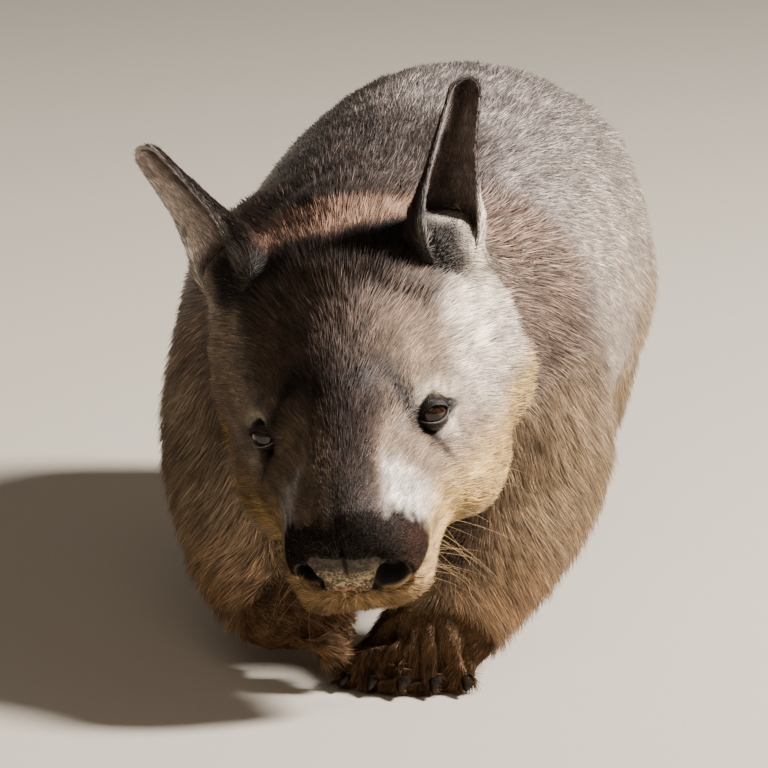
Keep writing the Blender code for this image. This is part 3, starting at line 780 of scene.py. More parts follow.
# Painted shade deep in the nostrils
NOSTRIL = colour(10, 7, 6)
EYE_AROUND = colour(46, 32, 25)
IRIS = colour(50, 32, 21)
PUPIL = colour(4, 3, 3)
WHISKER_PALE = colour(176, 146, 104)
WHISKER_DARK = colour(52, 38, 28)
CLAW_DARK = colour(14, 10, 8)
CLAW_PALE = colour(34, 26, 19)
FLOOR = colour(192, 183, 170)
# How much of red, green and blue the far side of the head loses, which the photograph shows in shade
HEAD_SHADE = (0.4, 0.48, 0.55)


def blend(base, over, share):
    share = np.asarray(share)[:, None]
    return base * (1 - share) + over * share


def layered(tint, *layers):
    """Lays each colour over those before it, by its share at every point."""
    for over, share in layers:
        tint = blend(tint, over, share)
    return tint


def eye_marks(tint, local):
    """Pale arch and patch, dark lids, painted shade of a fold above the inner corner, the tear line
    below it and a painted highlight along the lower lid.
    """
    for side in (-1, 1):
        centre, outer, up, _ = eye_frame(side)
        q = local - centre
        u, v = q @ outer, q @ up
        here = (local[:, 0] * side > 0) & (distance(local, centre) < 0.05)
        gap = lid_curve(u, v)
        arch = hill(np.hypot(u / 0.015, v / 0.0135), 1.0, 0.28)
        arch = arch * ramp(-0.002, 0.006, v) * ramp(-0.016, -0.007, u)
        patch = hill(u, 0.0075, 0.0045) * hill(v, -0.015, 0.0066)
        # Painted shade of a fold above the inner corner
        streak = hill(u, -0.015, 0.0048) * ramp(-0.006, 0.004, v) * ramp(0.042, 0.026, v)
        corner = hill(u, -0.0118, 0.0058) * hill(v, -0.001, 0.0068)
        width = 0.0062 - 0.003 * ramp(-0.003, -0.024, v)
        tear = hill(u, -0.009 + 0.25 * (-v - 0.003), width)
        tear = tear * ramp(0.0, -0.004, v) * ramp(-0.031, -0.02, v)
        # Painted highlight along the lower lid's rim
        lid_highlight = hill(gap, 1.07, 0.09) * ramp(0.0, -0.0016, v)
        tint = layered(
            tint,
            (BROW, here * 0.95 * arch),
            (BROW, here * 0.7 * patch),
            (EYE_RIM_AND_FOLD_SHADE, here * 0.82 * streak),
            (EYE_RIM_AND_FOLD_SHADE, here * 0.95 * corner),
            (EYE_RIM_AND_FOLD_SHADE, here * 0.9 * tear),
            (EYE_RIM_AND_FOLD_SHADE, here * 0.97 * ramp(2.1, 1.65, gap)),
            (PAINTED_LID_HIGHLIGHT, here * 0.75 * lid_highlight),
        )
    return tint


def nose_colour(tint, local):
    """The dark velvet pad, the sandy plate between the nostrils and the ochre lip below them."""
    x, y, z = nose_place(local)
    s = np.abs(x) + 0.0012 * cloud(local, 0.006, 11)
    edge = lip_edge(s)
    below = ramp(edge + 0.0016, edge - 0.0016, z)
    pad = pad_share(x, y + 0.004 * cloud(local, 0.004, 15)) * (1 - below)
    lip = ramp(-0.164, -0.176, y) * below * ramp(-0.04, -0.036, z)
    chin = 0.5 * ramp(-0.2, 0.7, cloud(local, 0.0045, 14)) + 0.5 * ramp(-0.026, -0.034, z)
    speckle = ramp(-0.3, 0.4, cloud(local, 0.001, 9) + 0.8 * cloud(local, 0.0042, 10))
    amount = (0.12 + 0.88 * ramp(0.006, -0.013, z)) * (0.12 + 0.88 * speckle)
    grain = blend(CRUST, CRUST_LOW, ramp(-0.011, -0.0165, z) * 0.8)
    grain = grain * (0.75 + 0.45 * cloud(local, 0.0009, 12))[:, None]
    slit = hill(x, 0, 0.0012) * ramp(-0.01, -0.004, z) * ramp(-0.186, -0.192, y)
    return layered(
        tint,
        (blend(NOSE, NOSE_FLANK, ramp(0.024, 0.036, s) * 0.8), pad),
        (blend(LIP, CHIN, chin), lip * 0.92),
        (grain, crust_share(local) * amount),
        (NOSE, 0.9 * slit),
        # Painted shade deep in the nostrils
        (NOSTRIL, ramp(1.0, 0.8, nostril_share(local)) * ramp(-0.165, -0.18, y)),
    )


def head_colour(local):
    x, y, z = local.T
    s = np.abs(x) + 0.004 * cloud(local, 0.022, 3)
    left, right = x.clip(0), -x.clip(None, 0)
    under_eye = ramp(0.016, 0.024, s) * ramp(0.05, 0.036, s) * ramp(-0.124, -0.136, y)
    tint = layered(
        FOREHEAD,
        # Dark crown fur, with the painted shadow of the ear across the forehead
        (CROWN_DARK_AND_SHADE, ramp(-0.066, -0.036, y)),
        (FOREHEAD_SIDE, ramp(0.012, 0.038, s) * ramp(-0.062, -0.082, y)),
        # Painted light: the lit band along the ridge of the crown
        (RIDGE_PAINTED_LIGHT, ramp(-0.036, -0.026, y - 0.5 * left)),
        # Dark nape fur, with painted shade behind the crown's ridge
        (NAPE_DARK_AND_SHADE, ramp(-0.008, 0.0, y - 0.25 * left - 0.33 * right)),
        (BRIDGE, ramp(-0.085, -0.12, y) * ramp(0.022, 0.01, s)),
        (TEMPLE, ramp(0.046, 0.066, s) * ramp(-0.15, -0.12, y)),
        (CHEEK, ramp(0.034, 0.058, s - 0.1 * (y + 0.13)) * ramp(-0.085, -0.12, y)),
        (UNDER_EYE, under_eye * ramp(-0.006, 0.006, z)),
        # Painted light on the animal's right side of the muzzle, beside the dark bridge
        (MUZZLE_PAINTED_LIGHT, 0.7 * ramp(0.0, -0.02, x) * ramp(-0.122, -0.148, y)),
        (MUZZLE_SIDE, ramp(0.018, 0.027, s) * ramp(-0.15, -0.164, y) * ramp(-0.016, 0.002, z)),
        (CHEEK_LOW, ramp(0.01, -0.018, z) * ramp(0.024, 0.04, s) * 0.85),
        (CHIN, ramp(-0.036, -0.046, z)),
    )
    # Painted shade: the lower part of the animal's right side of the head is darker
    tint = tint * (1 - np.outer(ramp(-0.03, -0.072, x) * ramp(-0.03, 0.005, z), HEAD_SHADE))
    return nose_colour(eye_marks(tint, local), local)


def body_colour(points, weights):
    x, y, z = to_stance(points).T
    wander = cloud(points, 0.05, 5)
    # Dark fur inside the left foreleg, with painted shade where the head shades it
    inner_arm_and_shade = ramp(0.078, 0.05, x) * (x > 0) * ramp(0.05, 0.075, z)
    limb = layered(
        ARM,
        (SHIN, ramp(0.105, 0.045, z + 0.01 * wander)),
        (UPPER_ARM, ramp(0.11, 0.16, z + 0.01 * wander)),
        (INNER_ARM_AND_SHADE, 0.9 * inner_arm_and_shade),
    )
    # Painted shade: the legs on the animal's right side are darker above the feet
    limb = limb * (1 - 0.55 * ramp(-0.02, -0.09, x) * ramp(0.055, 0.12, z))[:, None]
    legs = weight_of(weights, "foreleg", "hindleg")
    # Painted shade: the back is darker and browner on the animal's right side
    shaded_back = ramp(0.18, 0.24, z) * ramp(0.01, -0.06, x + 0.02 * wander)
    shoulder = ramp(-0.05, -0.12, y + 0.02 * wander) * (1 - 0.6 * ramp(0.24, 0.29, z))
    # Dark nape fur, with painted shade in the hollow behind the head
    nape_and_shade = ramp(0.235, 0.275, z) * ramp(0.05, -0.03, y) * ramp(0.08, 0.045, np.abs(x + 0.01))
    return layered(
        FLANK,
        (BACK_GREY, ramp(0.16, 0.27, z + 0.02 * wander)),
        (BACK_PAINTED_SHADE, 0.85 * shaded_back),
        (SHOULDER, 0.85 * shoulder),
        (NAPE_DARK_AND_SHADE, 0.85 * nape_and_shade),
        (BELLY, ramp(0.11, 0.07, z)),
        (limb, legs * ramp(0.215, 0.15, z + 0.02 * wander)),
        (FOOT, weight_of(weights, "forefoot", "hindfoot")),
    )


def ear_colour(tint, local, ears):
    amount, along, within, edge = ears.T
    on_left = local[:, 0] > 0
    outwards = np.abs(local[:, 0]) - EAR_SIDE - 0.5 * (local[:, 2] - EAR_UP)
    lower = 1 - ramp(0.3, 0.5, along) * on_left
    inner = layered(
        EAR_INSIDE,
        (EAR_GROOVE, hill(edge, 0.0, 0.3) * 0.8),
        # Painted shade in the cup of the ear on the animal's left
        (EAR_SHADED, 0.85 * ramp(-0.01, 0.01, local[:, 0])),
        (EAR_GROOVE, ramp(0.4, 0.24, along) * 0.95),
    )
    shade = layered(
        EAR_OUTSIDE,
        (inner, within),
        (EAR_EDGE, ramp(0.78, 1.0, edge) * lower * (0.15 + 0.75 * ramp(-0.004, 0.008, outwards))),
        (EAR_OUTSIDE, ramp(0.8, 0.97, along) * 0.6 * on_left),
        (EAR_BASE, ramp(0.5, 0.24, along) * ramp(-0.012, 0.01, outwards) * (1 - within)),
    )
    return blend(tint, shade, amount)


def ear_nearness(local, side):
    """1 at the root of an ear, falling to 0 a little way round it."""
    return ramp(0.032, 0.019, distance(local, ear_root(side) - (0, 0.006, 0)))


def coat_colour(points, weights, ears):
    local = to_head(points)
    head = weight_of(weights, "head")
    tint = blend(body_colour(points, weights), head_colour(local), ramp(0.35, 0.75, head))
    off_ear = 1 - ears[:, 0]
    for side in (-1, 1):
        aside = local[:, 0] * side
        spot = (local - np.array([side * 0.074, -0.026, 0.058])) / (0.014, 0.02, 0.026)
        patch = np.exp(-np.sum(spot**2, axis=1)) * ramp(0.058, 0.07, aside)
        # Dark fur with painted shade round the inner side of each ear's root
        inner = ear_nearness(local, side) * ramp(0.078, 0.066, aside) * ramp(-0.024, -0.034, local[:, 1])
        tint = layered(tint, (EAR_BASE, 0.9 * patch * off_ear), (CROWN_DARK_AND_SHADE, inner * off_ear))
    return ear_colour(tint, local, ears)


# The lie of the coat


def lie_of(points, normals, weights, ears):
    """The direction in which the hairs lie, along the skin."""
    local = to_head(points)
    normal_local = normals @ HEAD_AXES
    side = np.tanh(local[:, 0] / 0.02)
    low = ramp(0.02, -0.03, local[:, 2])
    head = np.stack([
        side * (0.3 + 0.35 * low),
        0.9 + 0 * side,
        -0.1 - 0.75 * np.abs(normal_local[:, 0]) * ramp(-0.16, -0.12, local[:, 1]),
    ], axis=1)
    head = head @ HEAD_AXES.T
    stance = to_stance(points)
    flank = np.abs(normals[:, 0])
    rump = ramp(0.28, 0.38, stance[:, 1])
    trunk = np.stack([0 * flank, 1.0 - 0.8 * rump, -0.65 * flank - 1.0 * rump], axis=1)
    legside = np.sign(stance[:, 0])
    leg = np.stack([0.2 * legside, 0.25 + 0 * flank, -1.0 + 0 * flank], axis=1)
    foot = np.zeros_like(points)
    for number, claws in enumerate(toe_ways().values()):
        way = unit(sum(w for _, w in claws) + np.array([0, 0, -0.25]))
        foot += weights[:, len(FLESH) - 4 + number, None] * way
    foot = unit(foot + 1e-6)
    parts = [
        (weight_of(weights, "head"), head),
        (weight_of(weights, "neck", "torso", "tail"), trunk),
        (weight_of(weights, "foreleg", "hindleg"), leg),
        (weight_of(weights, "forefoot", "hindfoot"), foot),
    ]
    total = sum(share[:, None] * unit(direction) for share, direction in parts)
    for ear_side in (1, -1):
        along = HEAD_AXES @ ear_axis(ear_side)
        here = ears[:, 0] * (local[:, 0] * ear_side > 0)
        total = total * (1 - here[:, None]) + along * here[:, None]
    total += 0.22 * np.stack([cloud(points, 0.018, k) for k in (21, 22, 23)], axis=1)
    total -= normals * np.sum(total * normals, axis=1, keepdims=True)
    return unit(total)


# The coat


def changed(rows, share, *gains):
    """Rows raised or lowered by their own gains where the share is 1."""
    return rows * (1 + np.outer(gains, share))


def tuft_sizes(local, weights, ears):
    """Length, width, lift and number of tufts, a row for each as in the tables, at every point."""
    head = weight_of(weights, "head")
    trunk = weight_of(weights, "torso", "neck")
    legs = weight_of(weights, "foreleg", "hindleg")
    feet = weight_of(weights, "forefoot", "hindfoot", "tail")
    tables = (
        (TUFTS_HEAD, head), (CHANGE_FACE, head * ramp(-0.06, -0.11, local[:, 1])),
        (CHANGE_MUZZLE, head * ramp(-0.14, -0.178, local[:, 1])),
        (TUFTS_TRUNK, trunk), (TUFTS_LEGS, legs), (TUFTS_FEET, feet),
    )
    rows = sum(np.outer(table, share) for table, share in tables) / (head + trunk + legs + feet)
    toes = np.zeros_like(head)
    for foot, claws in toe_ways().items():
        for claw, _ in claws:
            near = ramp(0.028, 0.013, distance(local, to_head(claw)))
            toes = np.maximum(toes, TOE_COVER.get(foot, 1.0) * near)
    rows += np.outer(TOE_FUR, toes)
    rows = changed(rows, ear_nearness(local, 1) + ear_nearness(local, -1), -0.7, 0, -0.8, 0)
    rows = changed(rows, ramp(0.03, 0.014, eye_distance(local)), -0.5, -0.4, 0, 0.8)
    x, y, z = nose_place(local)
    over_lip = z - lip_edge(np.abs(x))
    pad = head * pad_share(x, y) * ramp(-0.003, 0.001, over_lip)
    rows = rows * (1 - pad) + np.outer(TUFTS_PAD, pad)
    lip = head * ramp(-0.15, -0.172, y) * ramp(0.001, -0.003, over_lip)
    rows = changed(rows, lip, 0.8, 0.2, 0.9, 0)
    amount, along, within, _ = ears.T
    on_ear = np.outer(TUFTS_EAR, amount)
    on_ear[0] += amount * 0.005 * ramp(0.45, 0.2, along) * (1 - within)
    return rows * (1 - amount) + on_ear


def bald(local):
    """Where no tuft grows: the plate of the nose, the nostrils and the lids' rims."""
    bare = (crust_share(local) > 0.35) & (nose_place(local)[2] < 0.008)
    bare |= (nostril_share(local) < 1.05) & (local[:, 1] < -0.17)
    for side in (-1, 1):
        centre, outer, up, _ = eye_frame(side)
        q = local - centre
        bare |= (distance(local, centre) < 0.016) & (lid_curve(q @ outer, q @ up) < 1.5)
    return bare


def grown_roots(points, tris, density):
    """Random roots over the skin, as their triangle and their three weights in it."""
    a, b, c = (points[tris[:, k]] for k in range(3))
    area = np.linalg.norm(np.cross(b - a, c - a), axis=1) / 2
    wanted = area * density[tris].mean(axis=1) * 1.0
    count = np.floor(wanted + RNG.random(len(tris))).astype(int)
    face = np.repeat(np.arange(len(tris)), count)
    u, v = RNG.random(len(face)), RNG.random(len(face))
    flip = u + v > 1
    u, v = np.where(flip, 1 - u, u), np.where(flip, 1 - v, v)
    return face, np.stack([1 - u - v, u, v], axis=1)


def at_roots(values, tris, face, mix):
    corners = values[tris[face]]
    if corners.ndim == 2:
        return np.sum(corners * mix, axis=1)
    return np.sum(corners * mix[:, :, None], axis=1)


def coat_regions(local, stance, weights, ears):
    """The number among PIECES of the coat piece that each point belongs to."""
    on_left = local[:, 0] > 0
    head = weight_of(weights, "head") > 0.5
    face = head & (local[:, 1] < -0.095)
    fore = weight_of(weights, "foreleg", "forefoot") > 0.5
    feet = weight_of(weights, "forefoot", "hindfoot") > 0.5
    piece = np.full(len(local), PIECES.index("back_right"))
    for name, here in (
        ("back_left", stance[:, 0] > 0),
        ("neck", weight_of(weights, "neck") > 0.5),
        ("forelegs", fore),
        ("hindlegs", weight_of(weights, "hindleg", "hindfoot") > 0.5),
        ("brow_right", head),
        ("brow_left", head & on_left),
        ("face_right", face),
        ("face_left", face & on_left),
        ("nose", head & (pad_share(*nose_place(local)[:2]) > 0.5)),
        ("hindfeet", feet),
        ("forefeet", feet & fore),
        ("ears", ears[:, 0] > 0.5),
    ):
        piece[here] = PIECES.index(name)
    return piece


def turn_share(y, x):
    return np.arctan2(y, x) / (2 * math.pi) + 0.5


def unwrapped(name, local, stance):
    """Places of the roots on a flat map of the skin's own shape, in 0..1."""
    kind = name.split("_")[0]
    if kind in ("face", "brow", "nose"):
        q = unit(local - np.array([0, -0.06, 0.0]))
        angle = np.arccos(np.clip(-q[:, 1], -1, 1)) / math.pi
        turn = np.arctan2(q[:, 2], q[:, 0])
        return np.stack([0.5 + 0.5 * angle * np.cos(turn), 0.5 + 0.5 * angle * np.sin(turn)], axis=1)
    if kind in ("neck", "back"):
        turn = turn_share(stance[:, 0], stance[:, 2] - 0.16)
        return np.stack([turn, (stance[:, 1] + 0.3) / 0.8], axis=1)
    if kind != "ears":
        left = stance[:, 0] > 0
        middle = np.where(left, 0.065, -0.065)
        depth = -0.12 if kind.startswith("fore") else np.where(left, 0.235, 0.145)
        tall = 0.3 if kind.endswith("legs") else 0.12
        turn = turn_share(stance[:, 0] - middle, stance[:, 1] - depth)
        return np.stack([turn * 0.5 + np.where(left, 0.5, 0), stance[:, 2] / tall], axis=1)
    side = np.sign(local[:, 0])
    q = local - np.stack([side * EAR_SIDE, 0 * side + EAR_BACK, 0 * side + EAR_UP], axis=1)
    up = np.stack([side * 0.5, 0 * side + 0.36, 0 * side + 0.79], axis=1)
    run = np.sum(q * unit(up), axis=1)
    turn = turn_share(q[:, 1], q[:, 0] * side)
    return np.stack([turn * 0.5 + (side > 0) * 0.5, (run + 0.03) / 0.16], axis=1)


def spike_corners(root, normal, lie, size):
    """Three corners round each root, sunk a little into the skin, and the tip."""
    length, width, lift = size
    angle = np.radians(lift)[:, None]
    side = np.cross(normal, lie)
    way = lie * np.cos(angle) + normal * np.sin(angle)
    top = np.cross(way, side)
    top *= np.sign(np.sum(top * normal, axis=1, keepdims=True))
    sunk = root - way * (length * 0.1)[:, None]
    half = (width / 2)[:, None]
    tip = root + way * length[:, None]
    corners = np.stack([sunk - side * half, sunk + side * half, sunk + top * half * 1.1, tip], axis=1)
    corners[..., 2] = corners[..., 2].clip(LOWEST_HAIR)
    return corners.reshape(-1, 3)


def tuft_mesh(name, corners, tint_root, tint_tip, place):
    """Three-sided spikes, four corners each, with their colours and the map for baking."""
    count = len(place)
    loops = np.arange(count)[:, None] * 4 + np.array([0, 2, 3, 2, 1, 3, 1, 0, 3])
    mesh = bpy.data.meshes.new(name)
    mesh.vertices.add(count * 4)
    mesh.vertices.foreach_set("co", corners.astype(np.float32).ravel())
    mesh.loops.add(loops.size)
    mesh.loops.foreach_set("vertex_index", loops.ravel().astype(np.int32))
    mesh.polygons.add(count * 3)
    mesh.polygons.foreach_set("loop_start", np.arange(0, count * 9, 3, dtype=np.int32))
    mesh.update(calc_edges=True)
    smooth(mesh)
    tints = np.repeat(tint_root, 4, axis=0)
    tints[3::4] = tint_tip
    paint(mesh, tints)
    patch = MAP_PATCH * np.array([(-1, -1), (1, -1), (0, -2 / 3), (0, 1)])
    add_bake_map(mesh, (place[:, None, :] + patch).reshape(-1, 2))
    return new_object(name, mesh)


def tuft_tints(tint, root, weights):
    """Colours at the root and the tip of each tuft, with streaks, pale hairs and painted glints on the
    back.
    """
    body = 1 - weight_of(weights, "head")
    # Painted highlight: on top of the back more tips are pale, brighter and whiter, as glints; the pale
    # hairs elsewhere are the coat's own
    glint = weight_of(weights, "torso", "neck") * ramp(0.15, 0.26, root[:, 2])
    shade = 1 + 0.3 * cloud(root, 0.0065, 32) + 0.16 * cloud(root, 0.0024, 33)
    shade += 0.44 * cloud(to_head(root) * (1, 0.26, 0.8), 0.0024, 34)
    spread = 0.38 + 0.12 * body
    shade = (shade.clip(0.25) * (1 - spread + 2 * spread * RNG.random(len(root))))[:, None]
    pale = (RNG.random(len(root)) < 0.2 + 0.04 * body + 0.1 * glint)[:, None]
    glint = glint[:, None]
    tip = tint * shade * np.where(pale, 1.9 + 1.4 * glint, 1.05) + pale * (0.035 + 0.06 * glint)
    return tint * shade * (0.5 - 0.1 * glint), tip


def grow_coat(skin, weights, ears, tints):
    points, tris = mesh_vertices(skin.data), mesh_triangles(skin.data)
    rows = tuft_sizes(to_head(points), weights, ears)
    face, mix = grown_roots(points, tris, rows[3])
    keep = ~bald(to_head(at_roots(points, tris, face, mix)))
    face, mix = face[keep], mix[keep]
    sources = (points, normals_of(points, tris), weights, ears, tints)
    root, normal, weights, ears, tint = (at_roots(values, tris, face, mix) for values in sources)
    normal = unit(normal)
    lie = lie_of(root, normal, weights, ears)
    length, width, lift, _ = (at_roots(row, tris, face, mix) for row in rows)
    lock = cloud(root, 0.009, 31)
    count = len(root)
    length = length * (0.75 + 0.5 * RNG.random(count)) * (1 + 0.18 * lock)
    width = width * (0.7 + 0.6 * RNG.random(count)) * 1.0
    lift = lift * (0.55 + 0.9 * RNG.random(count)) + 3.0 * lock
    lie = lie + (RNG.random((count, 3)) - 0.5) * 0.34
    lie = unit(lie - normal * np.sum(lie * normal, axis=1, keepdims=True))
    corners = spike_corners(root, normal, lie, (length, width, lift)).reshape(-1, 4, 3)
    tint_root, tint_tip = tuft_tints(tint, root, weights)
    local, stance = to_head(root), to_stance(root)
    piece = coat_regions(local, stance, weights, ears)
    made = []
    for number, name in enumerate(PIECES):
        here = piece == number
        if here.any():
            place = unwrapped(name, local[here], stance[here])
            made.append(tuft_mesh("coat_" + name, corners[here], tint_root[here], tint_tip[here], place))
            print(name, int(here.sum()) * 3, "triangles")
    return made


def whisker_roots(points, normals):
    """Some vertices on both sides of the muzzle and on the cheeks, with lengths and directions."""
    local = to_head(points)
    across = normals @ HEAD_AXES
    rows = []
    for side in (-1, 1):
        placed = local * (side, 1, 1)
        for bounds, count, (shortest, longest), way in WHISKERS:
            inside = across[:, 0] * side > 0.25
            for axis, (low, high) in enumerate(bounds):
                inside = inside & (placed[:, axis] > low) & (placed[:, axis] < high)
            for index in RNG.choice(np.nonzero(inside)[0], count):
                length = shortest + (longest - shortest) * RNG.random()
                loose = 0.75 * (RNG.random(3) - 0.5)
                aim = unit(np.array([way[0] * side, way[1], way[2]]) + loose + 0.35 * across[index])
                rows.append((index, length, side, aim))
    return rows


def whisker_corners(root, length, way, bend):
    """Rings of three corners along a curve, which narrow towards the tip."""
    first = unit(np.cross(way, np.array([0.2, 0.3, 1.0])))
    ring = np.outer(np.cos(THIRDS), first) + np.outer(np.sin(THIRDS), np.cross(way, first))
    t = np.linspace(0, 1, WHISKER_STEPS)[:, None]
    line = root + length * (t * way + t * t * bend * 0.6) - way * 0.001
    radius = WHISKER_RADIUS * (1 - 0.85 * t)
    return (line[:, None, :] + radius[:, :, None] * ring).reshape(-1, 3)


def whisker_faces(start):
    rings = [start + step * 3 for step in range(WHISKER_STEPS)]
    faces = []
    for ring in rings[:-1]:
        for k in range(3):
            a, b = ring + k, ring + (k + 1) % 3
            faces.append((a, b, b + 3, a + 3))
    return faces + [(start, start + 2, start + 1), tuple(rings[-1] + k for k in range(3))]


def whiskers(skin):
    """Long curved bristles, each a thin three-sided horn that bends back and down."""
    points = mesh_vertices(skin.data)
    rows = whisker_roots(points, normals_of(points, mesh_triangles(skin.data)))
    each = WHISKER_STEPS * 3
    corners, faces, tints = [], [], []
    for number, (index, length, side, aim) in enumerate(rows):
        bend = HEAD_AXES @ np.array([-0.25 * side, 0.3, -0.95]) * (0.5 + 0.9 * RNG.random())
        tint = (WHISKER_PALE if RNG.random() < 0.5 else WHISKER_DARK) * (0.7 + 0.5 * RNG.random())
        corners.append(whisker_corners(points[index], length, HEAD_AXES @ aim, bend))
        faces += whisker_faces(number * each)
        tints.append(np.tile(tint, (each, 1)))
    corners = np.vstack(corners)
    corners[:, 2] = corners[:, 2].clip(LOWEST_HAIR)
    mesh = bpy.data.meshes.new("coat_whiskers")
    mesh.from_pydata(corners.tolist(), [], faces)
    paint(mesh, np.vstack(tints))
    places = unwrapped("face", to_head(points[[row[0] for row in rows]]), None)
    patch = MAP_PATCH * np.stack([np.cos(THIRDS), np.sin(THIRDS)], axis=1)
    spots = np.repeat(places, each, axis=0) + np.tile(patch, (len(rows) * WHISKER_STEPS, 1))
    add_bake_map(mesh, spots)
    return new_object("coat_whiskers", mesh)


# Materials


def principled(name, roughness, specular):
    made = bpy.data.materials.new(name)
    made.use_nodes = True
    shader = made.node_tree.nodes["Principled BSDF"]
    shader.inputs["Roughness"].default_value = roughness
    shader.inputs["Specular IOR Level"].default_value = specular
    return made, shader


def add_node(made, kind, **values):
    node = made.node_tree.nodes.new(kind)
    for socket, value in values.items():
        node.inputs[socket].default_value = value
    return node


def wire(made, source, output, target, socket):
    made.node_tree.links.new(source.outputs[output], target.inputs[socket])


def tinted(name, roughness, specular):
    """A material whose colour is the mesh's own colour layer."""
    made, shader = principled(name, roughness, specular)
    tint = add_node(made, "ShaderNodeVertexColor")
    tint.layer_name = "coat"
    wire(made, tint, "Color", shader, "Base Color")
    return made, shader


def add_bump(made, shader, scale, detail, strength, distance):
    """Bump from noise with its own scale on each axis; returns the noise."""
    place = add_node(made, "ShaderNodeTexCoord")
    stretch = add_node(made, "ShaderNodeMapping", Scale=scale)
    noise = add_node(made, "ShaderNodeTexNoise", Scale=1.0, Detail=detail)
    bump = add_node(made, "ShaderNodeBump", Strength=strength, Distance=distance)
    wire(made, place, "Object", stretch, "Vector")
    wire(made, stretch, "Vector", noise, "Vector")
    wire(made, noise, "Fac", bump, "Height")
    wire(made, bump, "Normal", shader, "Normal")
    return noise


def skin_material():
    made, shader = tinted("skin_under_coat", 0.62, 0.35)
    add_bump(made, shader, (900, 160, 500), 2, 0.35, 0.0006)
    return made


def claw_material():
    made, shader = principled("claw_horn", 0.85, 0.05)
    noise = add_bump(made, shader, (260, 260, 260), 4, 0.3, 0.0004)
    shades = add_node(made, "ShaderNodeValToRGB")
    for element, tint, position in zip(shades.color_ramp.elements, (CLAW_DARK, CLAW_PALE), (0.35, 0.7)):
        element.color = (*tint, 1)
        element.position = position
    wire(made, noise, "Fac", shades, "Fac")
    wire(made, shades, "Color", shader, "Base Color")
    return made


def coat_looks():
    """The slot and the material of each kind of coat piece, by the second word of its name."""
    hair = tinted("coat_hair", 0.4, 0.5)[0]
    matt = tinted("coat_matt", 0.52, 0.28)[0]
    sheen = tinted("coat_sheen", 0.32, 0.9)[0]
    velvet = tinted("coat_velvet", 0.8, 0.06)[0]
    return {
        "face": ("coat", hair), "forelegs": ("coat", hair), "hindlegs": ("coat", hair),
        "whiskers": ("coat", hair), "brow": ("coat", matt), "ears": ("ears", matt),
        "neck": ("coat", sheen), "back": ("coat", sheen),
        "nose": ("nose", velvet), "forefeet": ("feet", velvet), "hindfeet": ("feet", velvet),
    }


# Eyes and claws


def eye_piece(side):
    node = "eye_left" if side > 0 else "eye_right"
    centre = np.array(box_centre(node))
    gaze = HEAD_AXES @ unit(eye_frame(side)[3] + np.array([-side * 0.3, -0.25, -0.1]))
    mesh = bpy.data.meshes.new(node + "_ball")
    with edited(mesh) as bm:
        bmesh.ops.create_uvsphere(bm, u_segments=96, v_segments=64, radius=EYE_RADIUS)
        turn = Vector((0, 0, 1)).rotation_difference(Vector(gaze)).to_matrix().to_4x4()
        bm.transform(Matrix.Translation(Vector(centre)) @ turn)
    q = mesh_vertices(mesh) - centre
    away = np.degrees(np.arccos(np.clip(unit(q) @ gaze, -1, 1)))
    across = unit(np.cross(gaze, np.array([0.0, 0.0, 1.0])))
    round_gaze = np.arctan2(q @ np.cross(across, gaze), q @ across)
    streak = 0.75 + 0.25 * np.cos(round_gaze * 23 + 2 * np.sin(round_gaze * 7))
    tint = blend(EYE_AROUND, IRIS * streak[:, None], ramp(44.0, 40.0, away))
    tint = tint * (1 - 0.85 * hill(away, 42.0, 3.5))[:, None]
    smooth(mesh)
    paint(mesh, blend(tint, PUPIL, ramp(22.5, 20.0, away)))
    return new_object(node + "_ball", mesh), node


def claw_piece(node):
    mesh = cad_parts[node].data.copy()
    mesh.name = node + "_horn"
    with edited(mesh) as bm:
        bmesh.ops.remove_doubles(bm, verts=bm.verts, dist=1e-6)
    mesh.materials.clear()
    obj = new_object(node + "_horn", mesh)
    rounder = obj.modifiers.new("round", "SUBSURF")
    rounder.levels = rounder.render_levels = 2
    smooth(evaluated_mesh(obj))
    return obj


# Floor, light and camera


def floor_piece():
    mesh = bpy.data.meshes.new("floor")
    with edited(mesh) as bm:
        bmesh.ops.create_grid(bm, x_segments=1, y_segments=1, size=12)
    obj = new_object("floor", mesh)
    made, shader = principled("pale_floor", 0.8, 0.2)
    shader.inputs["Base Color"].default_value = (*FLOOR, 1)
    mesh.materials.append(made)


def area_light(name, place, size, power, tint):
    light = bpy.data.lights.new(name, "AREA")
    light.shape = "DISK"
    light.size = size
    light.energy = power
    light.color = tint
    obj = new_object(name, light)
    obj.location = place
    obj.rotation_euler = (LIT_POINT - Vector(place)).to_track_quat("-Z", "Y").to_euler()


def studio():
    world = bpy.data.worlds.new("studio")
    bpy.context.scene.world = world
    world.use_nodes = True
    back = world.node_tree.nodes["Background"]
    back.inputs["Color"].default_value = (1.0, 0.9, 0.79, 1)
    back.inputs["Strength"].default_value = 0.12
    area_light("key", (2.76, 0.09, 2.6), 0.8, 540, (1.0, 0.96, 0.905))
    area_light("fill", (-0.1, -2.7, 2.2), 2.2, 23, (1.0, 0.86, 0.71))


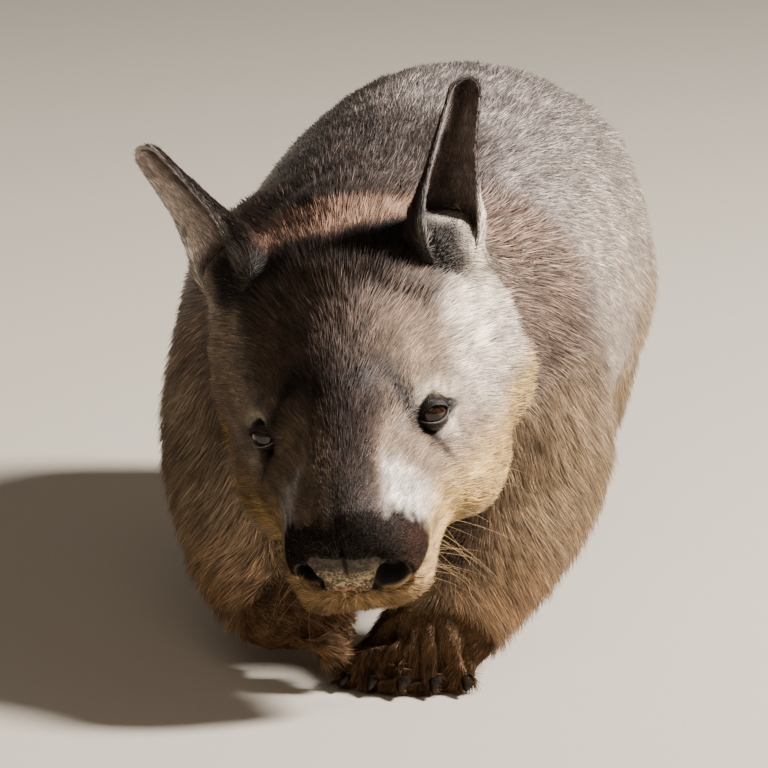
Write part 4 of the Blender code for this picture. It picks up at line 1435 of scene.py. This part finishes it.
def photo_camera():
    """The photograph's camera, set from the eyes' place, which turns to its frame's middle."""
    azimuth, elevation = math.radians(CAMERA_AZIMUTH), math.radians(CAMERA_ELEVATION)
    level = math.cos(elevation)
    forward = Vector((-math.sin(azimuth) * level, math.cos(azimuth) * level, -math.sin(elevation)))
    right = Vector((math.cos(azimuth), math.sin(azimuth), 0))
    camera = bpy.data.cameras.new("photo_camera")
    camera.sensor_width = 36
    camera.lens = FOCAL_PIXELS / PHOTO_PIXELS * camera.sensor_width
    camera.clip_end = 60
    obj = new_object("photo_camera", camera)
    obj.location = EYE_MIDDLE + AIM_FROM_EYES - forward * CAMERA_DISTANCE
    aside, above = PHOTO_PIXELS / 2 - AIM_PIXEL[0], AIM_PIXEL[1] - PHOTO_PIXELS / 2
    look = forward * FOCAL_PIXELS + right * aside + right.cross(forward) * above
    obj.rotation_euler = look.to_track_quat("-Z", "Y").to_euler()
    bpy.context.scene.camera = obj


# The whole animal


def join_to_root(obj, slot, *nodes):
    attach(obj, "root")
    if nodes:
        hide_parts(*nodes)


def add_skin_and_coat():
    skin = lightened(with_ears(sculpted(refined(base_skin()))))
    mesh = skin.data
    points, edges = mesh_vertices(mesh), mesh_edges(mesh)
    weights = region_weights(points, edges)
    ears = ear_shares(points)
    normals = normals_of(points, mesh_triangles(mesh))
    # Painted shade: the skin, and the tufts that take their colour from it, are darker in the hollows
    hollow = np.sum((relaxed(points, edges, 40) - points) * normals, axis=1)
    tints = coat_colour(points, weights, ears) * (1 - 0.55 * ramp(0.0002, 0.0016, hollow))[:, None]
    under = 0.62 + 0.38 * ramp(-0.176, -0.187, to_head(points)[:, 1])
    paint(mesh, tints * under[:, None])
    mesh.materials.clear()
    mesh.materials.append(skin_material())
    smooth(mesh)
    print("skin", len(mesh_triangles(mesh)), "triangles")
    join_to_root(skin, "coat", *FLESH, *EARS)
    looks = coat_looks()
    for piece in grow_coat(skin, weights, ears, tints) + [whiskers(skin)]:
        slot, material = looks[piece.name.split("_")[1]]
        piece.data.materials.append(material)
        join_to_root(piece, slot)


def add_eyes_and_claws():
    glossy = tinted("eyeball", 0.07, 0.45)[0]
    for side in (1, -1):
        ball, node = eye_piece(side)
        ball.data.materials.append(glossy)
        join_to_root(ball, "eyes", node)
    horn = claw_material()
    for node in claw_nodes():
        claw = claw_piece(node)
        claw.data.materials.append(horn)
        join_to_root(claw, "claws", node)


def main():
    add_skin_and_coat()
    add_eyes_and_claws()
    floor_piece()
    studio()
    photo_camera()


main()
